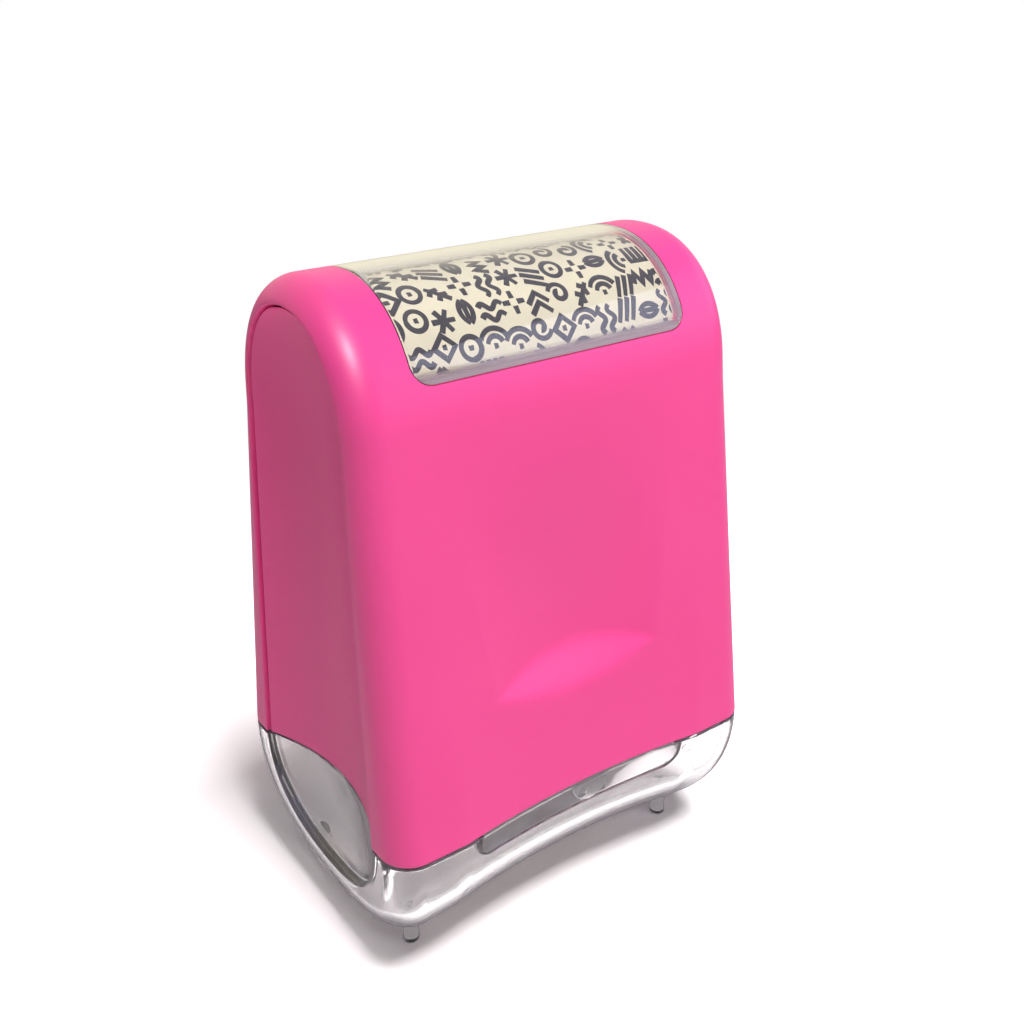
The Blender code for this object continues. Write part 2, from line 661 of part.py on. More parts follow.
def make_saddle(frame_grey):
    """A plate with four corner legs that guide the cartridge, and two ears that hold the panels' pegs."""
    corner = [(INNER_X, SADDLE_WAIST_Y), (SADDLE_X, SADDLE_WAIST_Y + LEG_WALL), (SADDLE_X, SADDLE_Y),
              (LEG_X, SADDLE_Y), (LEG_X, SADDLE_NECK_Y)]
    outline = corner + [(-x, y) for x, y in corner[::-1]]
    outline += [(-x, -y) for x, y in corner] + [(x, -y) for x, y in corner[::-1]]
    shape = bmesh.new()
    add_prism(shape, outline, "Z", SADDLE_Z, SADDLE_TOP_Z)
    saddle = add_object("cartridge_saddle", shape, frame_grey)
    extras = bmesh.new()
    inner_x = CHEEK_OUTER_X + GAP
    for side in (-1, 1):
        for facing in (-1, 1):
            leg = [(LEG_X, LEG_Y), (inner_x, LEG_Y), (inner_x, LEG_Y - LEG_COVER), (SADDLE_X, LEG_Y - LEG_COVER),
                   (SADDLE_X, SADDLE_Y), (LEG_X, SADDLE_Y)]
            outline = [(side * x, facing * y) for x, y in leg]
            add_prism(extras, outline, "Z", SADDLE_Z - LEG_LENGTH, SADDLE_Z + SADDLE_WALL / 2)
        outline = [(y, z) for y, z in ((-EAR_HALF_DEPTH, SADDLE_TOP_Z - SADDLE_WALL / 2),
                                       (EAR_HALF_DEPTH, SADDLE_TOP_Z - SADDLE_WALL / 2),
                                       (EAR_HALF_DEPTH, EAR_TOP_Z), (-EAR_HALF_DEPTH, EAR_TOP_Z))]
        add_prism(extras, outline, "X", side * (INNER_X - EAR_WALL), side * INNER_X)
    combine(saddle, extras, "UNION")
    cuts = bmesh.new()
    hole = SADDLE_SCREW_RADIUS + GAP
    low = -SADDLE_WALL - OVERRUN
    for side in (-1, 1):
        centre = (side * POST_X, 0.0, SADDLE_TOP_Z)
        add_turned(cuts, [(low, 0.0), (low, hole), (OVERRUN, hole), (OVERRUN, 0.0)], centre, "Z", SMALL_STEPS)
        add_block(cuts, (side * (TAB_START_X - GAP), -TAB_WALL / 2 - GAP, SADDLE_Z - OVERRUN),
                  (side * (TAB_END_X + GAP), TAB_WALL / 2 + GAP, SADDLE_TOP_Z + OVERRUN))
        peg = PEG_RADIUS + GAP / 2
        start = side * (INNER_X - EAR_WALL - OVERRUN)
        end = side * (INNER_X + OVERRUN)
        add_turned(cuts, [(start, 0.0), (start, peg), (end, peg), (end, 0.0)], (0.0, 0.0, PEG_Z), "X", SMALL_STEPS)
    combine(saddle, cuts, "DIFFERENCE")


def slot_outline(radius):
    """A plus shape for the drive of a screw head."""
    long = radius * SLOT_LENGTH_SHARE
    thin = radius * SLOT_WIDTH_SHARE
    corner = [(long, thin), (thin, thin), (thin, long)]
    outline = corner + [(-x, y) for x, y in corner[::-1]]
    return outline + [(-x, -y) for x, y in corner] + [(x, -y) for x, y in corner[::-1]]


def make_screw(name, axis, seat, head, shank, steel):
    """A screw whose head's underside is at the seat, with its shank running on along the axis.

    The head is (radius, signed height) and the shank (radius, signed length).
    """
    head_radius, head_end = head
    radius, shank_end = shank
    shape = bmesh.new()
    profile = [(head_end, 0.0), (head_end, head_radius), (0.0, head_radius), (0.0, radius),
               (shank_end - math.copysign(radius, shank_end), radius), (shank_end, radius / 3), (shank_end, 0.0)]
    add_turned(shape, profile, seat, axis, SMALL_STEPS)
    screw = add_object(name, shape, steel)
    slot = bmesh.new()
    place = seat[0] if axis == "X" else seat[2]
    centre = (seat[1], seat[2]) if axis == "X" else (seat[0], seat[1])
    outline = [(centre[0] + a, centre[1] + b) for a, b in slot_outline(head_radius)]
    outer = place + head_end + math.copysign(OVERRUN, head_end)
    add_prism(slot, outline, axis, place + head_end * (1.0 - SLOT_DEPTH_SHARE), outer)
    combine(screw, slot, "DIFFERENCE")


def cheek_outline():
    """A round foot under the axle, straight flanks to the shoulders, and a top with rounded corners."""
    points = []
    for step in range(CHEEK_STEPS + 1):
        angle = math.radians(mix(200.0, 340.0, step / CHEEK_STEPS))
        points.append((CHEEK_FOOT_RADIUS * math.cos(angle), AXIS_Z + CHEEK_FOOT_RADIUS * math.sin(angle)))
    points.append((CHEEK_Y, AXIS_Z + CHEEK_SHOULDER_RISE))
    corner = [math.pi / 2 * step / CORNER_STEPS for step in range(CORNER_STEPS + 1)]
    centre = (CHEEK_Y - CHEEK_CORNER, CHEEK_TOP_Z - CHEEK_CORNER)
    points += [(centre[0] + CHEEK_CORNER * math.cos(a), centre[1] + CHEEK_CORNER * math.sin(a)) for a in corner]
    points += [(-centre[0] - CHEEK_CORNER * math.cos(a), centre[1] + CHEEK_CORNER * math.sin(a))
               for a in corner[::-1]]
    points.append((-CHEEK_Y, AXIS_Z + CHEEK_SHOULDER_RISE))
    return points


def add_axle_hole(cuts, side):
    low = side * (CHEEK_X - OVERRUN)
    high = side * (CHEEK_OUTER_X + OVERRUN)
    profile = [(low, 0.0), (low, BORE_RADIUS), (high, BORE_RADIUS), (high, 0.0)]
    add_turned(cuts, profile, (0.0, 0.0, AXIS_Z), "X", SMALL_STEPS)


def make_cartridge_frame(frame_grey):
    shape = bmesh.new()
    add_prism(shape, cheek_outline(), "X", -CHEEK_OUTER_X, -CHEEK_X)
    frame = add_object("cartridge_frame", shape, frame_grey)
    low_x = -CHEEK_X - CHEEK_WALL / 2
    high_x = CHEEK_X - TOUCH
    beams = bmesh.new()
    add_block(beams, (low_x, -BRIDGE_Y, BRIDGE_Z), (high_x, BRIDGE_Y, BRIDGE_Z + BRIDGE_WALL - TOUCH))
    for facing in (-1, 1):
        add_block(beams, (low_x, facing * BAR_INNER_Y, BAR_Z), (high_x, facing * BAR_OUTER_Y, BAR_Z + BAR_HEIGHT))
    combine(frame, beams, "UNION")
    tabs = bmesh.new()
    for side in (-1, 1):
        add_block(tabs, (side * TAB_START_X, -TAB_WALL / 2, BRIDGE_Z + BRIDGE_WALL / 2),
                  (side * TAB_END_X, TAB_WALL / 2, CHEEK_TOP_Z + TAB_RISE))
    combine(frame, tabs, "UNION")
    cuts = bmesh.new()
    add_axle_hole(cuts, -1)
    hole = CHEEK_SCREW_RADIUS + TOUCH
    for facing in (-1, 1):
        centre = (CHEEK_SEAT_X, facing * BAR_Y, BAR_Z + BAR_HEIGHT / 2)
        deep = -CHEEK_SCREW_LENGTH - TOUCH
        add_turned(cuts, [(deep, 0.0), (deep, hole), (OVERRUN, hole), (OVERRUN, 0.0)], centre, "X", SMALL_STEPS)
    combine(frame, cuts, "DIFFERENCE")


def make_end_cheek(frame_grey, steel):
    shape = bmesh.new()
    add_prism(shape, cheek_outline(), "X", CHEEK_X, CHEEK_OUTER_X)
    cheek = add_object("cartridge_end_cheek", shape, frame_grey)
    cuts = bmesh.new()
    add_axle_hole(cuts, 1)
    hole = CHEEK_SCREW_RADIUS + TOUCH
    bore = CHEEK_SCREW_HEAD_RADIUS + TOUCH
    seat = CHEEK_SEAT_X - TOUCH
    profile = [(CHEEK_X - OVERRUN, 0.0), (CHEEK_X - OVERRUN, hole), (seat, hole), (seat, bore),
               (CHEEK_OUTER_X + OVERRUN, bore), (CHEEK_OUTER_X + OVERRUN, 0.0)]
    for name, facing in (("cheek_screw_front", -1), ("cheek_screw_rear", 1)):
        centre = (0.0, facing * BAR_Y, BAR_Z + BAR_HEIGHT / 2)
        add_turned(cuts, profile, centre, "X", SMALL_STEPS)
        make_screw(name, "X", (CHEEK_SEAT_X, centre[1], centre[2]), (CHEEK_SCREW_HEAD_RADIUS, CHEEK_SCREW_HEAD_WALL),
                   (CHEEK_SCREW_RADIUS, -CHEEK_SCREW_LENGTH), steel)
    combine(cheek, cuts, "DIFFERENCE")


def make_ring(name, low, high, inner, outer, steps, finish):
    shape = bmesh.new()
    profile = [(low, inner), (low, outer), (high, outer), (high, inner)]
    add_turned(shape, profile, (0.0, 0.0, AXIS_Z), "X", steps)
    return add_object(name, shape, finish, (0.0, 0.0, AXIS_Z))


def make_hub(name, side, grey):
    """A flange that closes the sleeve's end, with a plug inside the core and a bore for the axle."""
    flange = side * HUB_X
    outer = side * (HUB_X + HUB_WALL)
    deep = side * (HUB_X - HUB_PLUG_LENGTH)
    plug = CORE_BORE - TOUCH
    rim = ROLLER_RADIUS - HUB_MARGIN
    shape = bmesh.new()
    profile = [(outer, BORE_RADIUS), (outer, rim), (flange, rim), (flange, plug), (deep, plug), (deep, BORE_RADIUS)]
    add_turned(shape, profile, (0.0, 0.0, AXIS_Z), "X", ROUND_STEPS)
    hub = add_object(name, shape, grey, (0.0, 0.0, AXIS_Z))
    if side < 0:
        hole = bmesh.new()
        start = flange + OVERRUN / 2
        end = outer - OVERRUN
        add_turned(hole, [(start, 0.0), (start, INK_HOLE_RADIUS), (end, INK_HOLE_RADIUS), (end, 0.0)],
                   (0.0, 0.0, INK_HOLE_Z), "X", SMALL_STEPS)
        combine(hub, hole, "DIFFERENCE")


def make_ink_plug(frame_grey):
    face = -HUB_X - HUB_WALL - TOUCH
    head = face - INK_PLUG_HEAD_WALL
    deep = face + INK_PLUG_LENGTH
    shank = INK_HOLE_RADIUS - TOUCH
    shape = bmesh.new()
    profile = [(head, 0.0), (head, INK_PLUG_HEAD_RADIUS), (face, INK_PLUG_HEAD_RADIUS), (face, shank),
               (deep, shank), (deep, 0.0)]
    add_turned(shape, profile, (0.0, 0.0, INK_HOLE_Z), "X", SMALL_STEPS)
    add_object("ink_plug", shape, frame_grey, (0.0, 0.0, AXIS_Z))


def make_roller(grey, steel, rubber, felt, frame_grey):
    half = PRINT_X
    inside = half - HUB_MARGIN
    make_ring("print_sleeve", -half, half, FELT_RADIUS + TOUCH, ROLLER_RADIUS, ROUND_STEPS, rubber)
    make_ring("ink_felt", -inside, inside, CORE_RADIUS + TOUCH, FELT_RADIUS, ROUND_STEPS, felt)
    make_ring("roller_core", -inside, inside, CORE_BORE, CORE_RADIUS, ROUND_STEPS, grey)
    make_hub("left_roller_hub", -1, grey)
    make_hub("right_roller_hub", 1, grey)
    make_ink_plug(frame_grey)
    for name, side in (("left_thrust_washer", -1), ("right_thrust_washer", 1)):
        ends = (side * WASHER_X, side * (WASHER_X + WASHER_WALL))
        make_ring(name, *ends, BORE_RADIUS, WASHER_RADIUS, SMALL_STEPS, grey)
    end = CHEEK_OUTER_X - TOUCH
    shape = bmesh.new()
    bevel = AXLE_RADIUS / 5
    profile = [(-end, 0.0), (-end, AXLE_RADIUS - bevel), (bevel - end, AXLE_RADIUS), (end - bevel, AXLE_RADIUS),
               (end, AXLE_RADIUS - bevel), (end, 0.0)]
    add_turned(shape, profile, (0.0, 0.0, AXIS_Z), "X", SMALL_STEPS)
    add_object("roller_axle", shape, steel, (0.0, 0.0, AXIS_Z))


def make_stamp():
    clear_scene()
    pink = material("pink moulded plastic", PINK, 0.35)
    clear = material("clear moulded plastic", CLEAR, 0.05)
    cream = material("printed card", CREAM, 0.7)
    frame_grey = material("mid grey moulded plastic", FRAME_GREY, 0.5)
    grey = material("grey moulded plastic", GREY, 0.5)
    steel = material("steel", STEEL, 0.3, 1.0)
    rubber = material("pale soft rubber", RUBBER, 0.6)
    felt = material("felt", FELT_GREY, 0.95)
    make_housing_shell(pink)
    make_side_panel("left_side_panel", -1, pink)
    make_side_panel("right_side_panel", 1, pink)
    make_window(clear, cream)
    make_cap(clear)
    make_saddle(frame_grey)
    for name, side in (("saddle_screw_left", -1), ("saddle_screw_right", 1)):
        seat = (side * POST_X, 0.0, SADDLE_SEAT_Z)
        make_screw(name, "Z", seat, (SADDLE_SCREW_HEAD_RADIUS, -SADDLE_SCREW_HEAD_WALL),
                   (SADDLE_SCREW_RADIUS, SADDLE_SCREW_LENGTH), steel)
    make_cartridge_frame(frame_grey)
    make_end_cheek(frame_grey, steel)
    make_roller(grey, steel, rubber, felt, frame_grey)


make_stamp()
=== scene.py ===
"""The looks of the roller stamp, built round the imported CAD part. Metres, +Z up, and the front faces -Y."""

import math
import random

import bmesh
import bpy
from mathutils import Matrix, Vector


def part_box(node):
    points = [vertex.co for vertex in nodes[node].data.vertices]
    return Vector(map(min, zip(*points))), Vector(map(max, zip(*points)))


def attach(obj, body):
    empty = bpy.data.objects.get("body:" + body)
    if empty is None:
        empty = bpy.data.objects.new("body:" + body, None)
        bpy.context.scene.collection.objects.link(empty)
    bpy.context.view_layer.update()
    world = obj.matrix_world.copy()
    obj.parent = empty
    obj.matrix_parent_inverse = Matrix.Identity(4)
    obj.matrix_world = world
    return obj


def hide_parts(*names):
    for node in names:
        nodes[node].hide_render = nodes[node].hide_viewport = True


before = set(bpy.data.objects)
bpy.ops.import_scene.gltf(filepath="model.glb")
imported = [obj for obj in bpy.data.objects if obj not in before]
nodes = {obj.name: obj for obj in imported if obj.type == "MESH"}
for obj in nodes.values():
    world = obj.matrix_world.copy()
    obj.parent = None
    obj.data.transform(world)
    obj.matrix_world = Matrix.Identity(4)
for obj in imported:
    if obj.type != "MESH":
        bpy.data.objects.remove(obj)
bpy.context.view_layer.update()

MM = 0.001

# Sizes in metres. Some are read off the CAD solids, and nearly all the others are the solids' own. The card reaches
# nearer the window's edge than its solid does, and the tongues are wider than theirs, with rounded corners.
SHELL_LOW, SHELL_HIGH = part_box("housing_shell")
SEAM_Z = SHELL_LOW.z
CREST_Z = SHELL_HIGH.z
HOUSING_HALF_WIDTH = SHELL_HIGH.x
HOUSING_HALF_DEPTH = SHELL_HIGH.y
TOP_HALF_WIDTH = HOUSING_HALF_WIDTH - 1.05 * MM
ARCH_RISE = 13.5 * MM
ARCH_HALF_DEPTH = 11.45 * MM
ARCH_EXPONENT = 2.2
ARCH_Z = CREST_Z - ARCH_RISE
END_FILLET = 3.1 * MM
SHELL_WALL = 1.4 * MM
CREST_WALL = 2.6 * MM
CREST_WALL_FADE = 3.0 * MM
DISH_DEPTH = 1.05 * MM
CREASE_LOW_X = HOUSING_HALF_WIDTH - END_FILLET - 4.3 * MM
CREASE_HIGH_X = TOP_HALF_WIDTH - END_FILLET - 1.95 * MM
SCOOP_DEPTH = 1.7 * MM
SCOOP_LIP_MIDDLE = 9.7 * MM
SCOOP_LIP_SIDE = 12.4 * MM
SCOOP_FLOOR = 14.9 * MM
SCOOP_LEAST_RUN = 0.1 * MM
SCOOP_TOP = 38.5 * MM
SCOOP_LOW_HALF_WIDTH = 9.3 * MM
SCOOP_HIGH_HALF_WIDTH = 11.9 * MM
RIM_AT_SEAM = 4.8 * MM
RIM_AT_ARCH = 2.6 * MM
RIM_AT_CREST = 2.2 * MM
PANEL_STEP = 0.35 * MM
PANEL_DISH = 3.0 * MM
PANEL_WALL = 1.2 * MM
PANEL_GROOVE = 0.3 * MM
WINDOW_X = TOP_HALF_WIDTH - 6.25 * MM
WINDOW_LOW_Z = CREST_Z - 7.3 * MM
WINDOW_CORNER = 1.6 * MM
WINDOW_STAND = 0.1 * MM
WINDOW_WALL = 1.0 * MM
WINDOW_BED = 1.55 * MM
BED_ROOM = 0.29 * MM
CARD_STAND = -1.1 * MM
CARD_WALL = 0.25 * MM
CARD_MARGIN = 0.25 * MM
CAP_RIM_Z = SEAM_Z - 0.3 * MM
CAP_MIDDLE_DROP = 13.3 * MM
CAP_END_DROP = 14.5 * MM
CAP_EXPONENT = 2.3
CAP_END_TAPER = 1.0 * MM
CAP_WALL = 1.3 * MM
CAP_LOW_FILLET = 4.8 * MM
CAP_LOW_RIM = 5.9 * MM
FOOT_X = HOUSING_HALF_WIDTH - 5.1 * MM
FOOT_Y = HOUSING_HALF_DEPTH - 7.6 * MM
FOOT_RADIUS = 0.85 * MM
OVAL_TOP_Z = CREST_Z - RIM_AT_CREST
OVAL_LOW_Z = SEAM_Z - CAP_END_DROP + CAP_LOW_RIM
OVAL_MIDDLE_Z = (OVAL_TOP_Z + OVAL_LOW_Z) / 2
OVAL_HALF_HEIGHT = (OVAL_TOP_Z - OVAL_LOW_Z) / 2
OVAL_EXPONENT = 4.0
PEG_RADIUS = 1.4 * MM
PEG_Z = 40.9668 * MM
PEG_ROOT_X = 13.9 * MM
POST_X = 10.5 * MM
POST_RADIUS = 2.3 * MM
POST_LOW_Z = 35.6668 * MM
POST_HIGH_Z = CREST_Z - 2.0 * MM
SLEEVE_LOW, SLEEVE_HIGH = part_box("print_sleeve")
AXIS_Z = (SLEEVE_LOW.z + SLEEVE_HIGH.z) / 2
ROLLER_RADIUS = (SLEEVE_HIGH.z - SLEEVE_LOW.z) / 2
SLEEVE_BORE = ROLLER_RADIUS - 1.3 * MM
PRINT_RELIEF = 0.35 * MM
TONGUE_X = 13.0 * MM
TONGUE_ROOT_INSET = 1.0 * MM
TONGUE_INSET = SHELL_WALL + 0.3 * MM
TONGUE_WALL = 1.0 * MM
TONGUE_LOW_Z = SEAM_Z - 3.4 * MM
TONGUE_HIGH_Z = SEAM_Z + 3.2 * MM
TONGUE_CORNER = 2.4 * MM
TONGUE_ROOT_Z = CAP_RIM_Z - 0.1 * MM
TONGUE_TAPER_SHARE = 0.6

# Small details that only this script has.
LENS_MARGIN = -0.2 * MM
LENS_DROP = 0.1 * MM
# Width of the painted shade along the window's lower edges and right end, and how far in from the end it is full.
BED_SHADE_WIDTH = 0.65 * MM
BED_SHADE_FULL_WIDTH = 0.3 * MM
INK_SINK = 0.002 * MM
INK_WALL = 0.012 * MM
PRINT_PITCH_X, PRINT_PITCH_Y = 2.4 * MM, 2.6 * MM
PRINT_SIDE_MARGIN = 0.2 * MM
PRINT_LOW_MARGIN = 0.15 * MM
PRINT_STAGGER = 0.18
PRINT_MARK_SIZES = (2.5, 2.75)
PRINT_SEED = 12
RAISED_MARK_SIZES = (2.6, 2.75)
RAISED_MARK_SINK = 0.1 * MM
RAISED_MARK_STEP = 0.01 * MM
RAISED_SIDE_MARGIN = 0.15 * MM
RAISED_SEED = 23
CATCH_X = 0.9 * MM
CATCH_RADIUS = 2.2 * MM
CATCH_STAND = 0.04 * MM
CATCH_TOP_Z = CAP_RIM_Z - 0.06 * MM
BUMP_X = 13.2 * MM
BUMP_Z = CAP_RIM_Z - 1.0 * MM
BUMP_SIZE = (0.9 * MM, 0.3 * MM, 0.7 * MM)
BUMP_SINK = 0.03 * MM
LUG_X = BUMP_X + 0.6 * MM
LUG_SIZE = (1.1 * MM, 0.7 * MM, 0.5 * MM)
LUG_SINK = 0.46 * MM

# Roundings of the edges.
EDGE = 0.15 * MM
PANEL_EDGE = 0.12 * MM
FINE_EDGE = 0.1 * MM
CATCH_EDGE = 0.05 * MM
TONGUE_EDGE = 0.2 * MM
FOOT_EDGE = 0.4 * MM
SLEEVE_EDGE = 0.12 * MM

# How close points merge, how far a cutter runs past its face, and how deep a detail is buried in its piece.
MERGE = 0.002 * MM
OVERRUN = 1.0 * MM
BURY = 0.6 * MM


# Hands: the few moves that every piece is made with.

def start_edit(piece):
    bpy.ops.object.select_all(action="DESELECT")
    piece.select_set(True)
    bpy.context.view_layer.objects.active = piece
    bpy.ops.object.mode_set(mode="EDIT")
    bpy.ops.mesh.select_mode(type="VERT")
    bpy.ops.mesh.select_all(action="SELECT")


def end_edit():
    bpy.ops.object.mode_set(mode="OBJECT")


def lay_grid(name, rows, closed=False):
    """A grid primitive with one point for each point of the rows, which is then drawn over them."""
    across = len(rows[0]) - 1 + closed
    along = len(rows) - 1
    bpy.ops.object.select_all(action="DESELECT")
    bpy.ops.mesh.primitive_grid_add(x_subdivisions=across, y_subdivisions=along, size=2.0)
    sheet = bpy.context.object
    sheet.name = sheet.data.name = name
    for point in sheet.data.vertices:
        column = round((point.co.x + 1.0) / 2.0 * across) % len(rows[0])
        row = round((point.co.y + 1.0) / 2.0 * along)
        point.co = rows[row][column]
    return sheet


def close_up(piece):
    """Merges the points that meet, fills the open ends and turns every face outwards."""
    start_edit(piece)
    bpy.ops.mesh.remove_doubles(threshold=MERGE)
    bpy.ops.mesh.fill_holes(sides=0)
    bpy.ops.mesh.select_all(action="SELECT")
    bpy.ops.mesh.normals_make_consistent(inside=False)
    end_edit()
    return piece


def bridge_rims(piece):
    """Merges the points that meet and joins the two open rims with a strip of faces."""
    start_edit(piece)
    bpy.ops.mesh.remove_doubles(threshold=MERGE)
    bpy.ops.mesh.select_mode(type="EDGE")
    bpy.ops.mesh.select_all(action="DESELECT")
    bpy.ops.mesh.select_non_manifold(use_wire=False, use_boundary=True, use_multi_face=False,
                                     use_non_contiguous=False, use_verts=False)
    bpy.ops.mesh.bridge_edge_loops()
    bpy.ops.mesh.select_all(action="SELECT")
    bpy.ops.mesh.normals_make_consistent(inside=False)
    end_edit()
    return piece


def finish_with(piece, kind, **settings):
    """Puts a modifier on the piece and applies it."""
    step = piece.modifiers.new(kind.title(), kind)
    for name, value in settings.items():
        setattr(step, name, value)
    bpy.context.view_layer.objects.active = piece
    bpy.ops.object.modifier_apply(modifier=step.name)
    return piece


def round_edges(piece, width, segments=3, sharper_than=50.0):
    finish_with(piece, "BEVEL", width=width, segments=segments, limit_method="ANGLE",
                angle_limit=math.radians(sharper_than))
    return piece


def combine(piece, other, operation):
    """Joins the other shape to the piece, or cuts it away, and takes the other out of the scene."""
    finish_with(piece, "BOOLEAN", operation=operation, object=other, solver="EXACT")
    bpy.data.objects.remove(other, do_unlink=True)
    return piece


def join(pieces, name):
    bpy.ops.object.select_all(action="DESELECT")
    for piece in pieces:
        piece.select_set(True)
    bpy.context.view_layer.objects.active = pieces[0]
    if len(pieces) > 1:
        bpy.ops.object.join()
    pieces[0].name = pieces[0].data.name = name
    return pieces[0]


def settle(piece):
    """Puts the piece's place and turn in its mesh, with the object at the origin."""
    bpy.ops.object.select_all(action="DESELECT")
    piece.select_set(True)
    bpy.context.view_layer.objects.active = piece
    bpy.ops.object.transform_apply(location=True, rotation=True, scale=True)
    return piece


def rod(name, radius, start, end, sides=48):
    """A cylinder from one point to another."""
    way = Vector(end) - Vector(start)
    bpy.ops.object.select_all(action="DESELECT")
    bpy.ops.mesh.primitive_cylinder_add(vertices=sides, radius=radius, depth=way.length,
                                        location=(Vector(start) + Vector(end)) / 2,
                                        rotation=way.to_track_quat("Z", "Y").to_euler())
    made = settle(bpy.context.object)
    made.name = made.data.name = name
    return made


def keep_below(piece, height):
    """Cuts off what stands above a height and closes the cut."""
    start_edit(piece)
    bpy.ops.mesh.bisect(plane_co=(0.0, 0.0, height), plane_no=(0.0, 0.0, 1.0), use_fill=True, clear_outer=True)
    end_edit()
    return piece


def shade(piece, finish, angle=35.0):
    bpy.ops.object.select_all(action="DESELECT")
    piece.select_set(True)
    bpy.context.view_layer.objects.active = piece
    bpy.ops.object.shade_smooth_by_angle(angle=math.radians(angle))
    piece.data.materials.clear()
    piece.data.materials.append(finish)
    return piece


def stand_for(piece, body, slot, *replaced):
    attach(piece, body)
    if replaced:
        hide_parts(*replaced)
    return piece


def steps(low, high, count):
    return [low + (high - low) * step / count for step in range(1, count + 1)]


def smooth(value):
    value = min(max(value, 0.0), 1.0)
    return value * value * (3.0 - 2.0 * value)


def mix(low, high, share):
    return low + (high - low) * share


# The form: the same curves as the CAD solids, drawn with far more points.

def oval_arc(angle, depth, rise, exponent):
    """Half depth, rise and outward lean on a quarter of a squarish oval, from its side to its top."""
    across = max(math.cos(angle), 0.0) ** (2.0 / exponent)
    up = max(math.sin(angle), 0.0) ** (2.0 / exponent)
    lean = math.atan2(up ** (exponent - 1.0) / rise, across ** (exponent - 1.0) / depth)
    return depth * across, rise * up, lean


def arch_row(angle):
    depth, rise, lean = oval_arc(angle, ARCH_HALF_DEPTH, ARCH_RISE, ARCH_EXPONENT)
    return depth, ARCH_Z + rise, lean


def arch_angle(height):
    share = min(max((height - ARCH_Z) / ARCH_RISE, 0.0), 1.0)
    return math.asin(share ** (ARCH_EXPONENT / 2.0))


def flare_slope_at(angle):
    depth, height, _ = arch_row(angle)
    return (HOUSING_HALF_DEPTH - depth) / (height - SEAM_Z)


ARCH_START = min((math.radians(45.0) * step / 400 for step in range(1, 401)), key=flare_slope_at)
FLARE_TOP_Z = arch_row(ARCH_START)[1]
FLARE_SLOPE = flare_slope_at(ARCH_START)


def flare_depth(height):
    return HOUSING_HALF_DEPTH - (height - SEAM_Z) * FLARE_SLOPE


def half_width(height):
    share = (height - SEAM_Z) / (ARCH_Z - SEAM_Z)
    return mix(HOUSING_HALF_WIDTH, TOP_HALF_WIDTH, min(max(share, 0.0), 1.0))


def crease(height):
    share = (height - SEAM_Z) / (WINDOW_LOW_Z - SEAM_Z)
    return mix(CREASE_LOW_X, CREASE_HIGH_X, min(max(share, 0.0), 1.0))


def side_rows():
    """Half depth, height, lean and rim of each row from the seam to the crest, closest where the scoop turns."""
    flare = FLARE_TOP_Z - SEAM_Z
    fine_low, fine_high = 9.0 * MM, 16.0 * MM
    rises = [0.0] + steps(0.0, fine_low, 12) + steps(fine_low, fine_high, 26) + steps(fine_high, flare, 34)
    rows = []
    for rise in rises:
        share = rise / flare
        height = SEAM_Z + rise
        rows.append((flare_depth(height), height, math.atan(FLARE_SLOPE) * share, mix(RIM_AT_SEAM, RIM_AT_ARCH, share)))
    for share in steps(0.0, 1.0, 44):
        depth, height, lean = arch_row(mix(ARCH_START, math.pi / 2, share))
        rows.append((depth, height, lean, mix(RIM_AT_ARCH, RIM_AT_CREST, share)))
    return rows


def scoop(x, rise):
    opened = math.sin(min(max((rise - SCOOP_LIP_SIDE) / (SCOOP_TOP - SCOOP_LIP_SIDE), 0.0), 1.0) * math.pi / 2)
    side = (x / mix(SCOOP_LOW_HALF_WIDTH, SCOOP_HIGH_HALF_WIDTH, opened)) ** 2
    if side >= 1.0:
        return 0.0
    low = mix(SCOOP_LIP_MIDDLE, SCOOP_LIP_SIDE, side)
    high = mix(SCOOP_FLOOR, SCOOP_LIP_SIDE, side) + SCOOP_LEAST_RUN
    fade = 1.0 - smooth((rise - SCOOP_FLOOR) / (SCOOP_TOP - SCOOP_FLOOR))
    return SCOOP_DEPTH * smooth((rise - low) / (high - low)) * fade * (1.0 - side)


def face_hollow(x, height):
    rise = height - SEAM_Z
    fade = 1.0 - smooth(rise / (WINDOW_LOW_Z - SEAM_Z))
    return DISH_DEPTH * fade * max(1.0 - (x / crease(height)) ** 2, 0.0) + scoop(x, rise)


def shell_wall(x, height):
    """The wall is thicker under the window, where the bed is cut."""
    flat = half_width(height) - END_FILLET
    across = smooth((flat - abs(x)) / (flat - crease(height)))
    up = smooth((height - WINDOW_LOW_Z + CREST_WALL_FADE) / CREST_WALL_FADE)
    return mix(SHELL_WALL, CREST_WALL, across * up)


def face_x(share, edge, flat):
    """Shares up to 1 lie between the creases, and from 1 to 2 between the crease and the end fillet."""
    across = abs(share) * edge if abs(share) <= 1.0 else mix(edge, flat, abs(share) - 1.0)
    return math.copysign(across, share)


def face_point(row, share, walled):
    depth, height, lean, _ = row
    x = face_x(share, crease(height), half_width(height) - END_FILLET)
    inward = face_hollow(x, height) + (shell_wall(x, height) if walled else 0.0)
    return x, depth - inward * math.cos(lean), height - inward * math.sin(lean)


def rim_point(row, share, wall):
    depth, height, lean, rim = row
    turn = math.acos(max(1.0 - share * rim / END_FILLET, 0.0))
    inward = share * rim + wall * math.cos(turn)
    z = height - inward * math.sin(lean)
    x = half_width(z) - END_FILLET * (1.0 - math.sin(turn)) - wall * math.sin(turn)
    return x, depth - inward * math.cos(lean), z


def dish_at(height):
    share = abs(height - OVAL_MIDDLE_Z) / OVAL_HALF_HEIGHT
    return PANEL_DISH * math.sqrt(max(1.0 - share ** OVAL_EXPONENT, 0.0))


def both_faces(half):
    """The front row of each level from bottom to top, then the back rows down again."""
    return [(row, -1.0) for row in half] + [(row, 1.0) for row in half[-2::-1]]


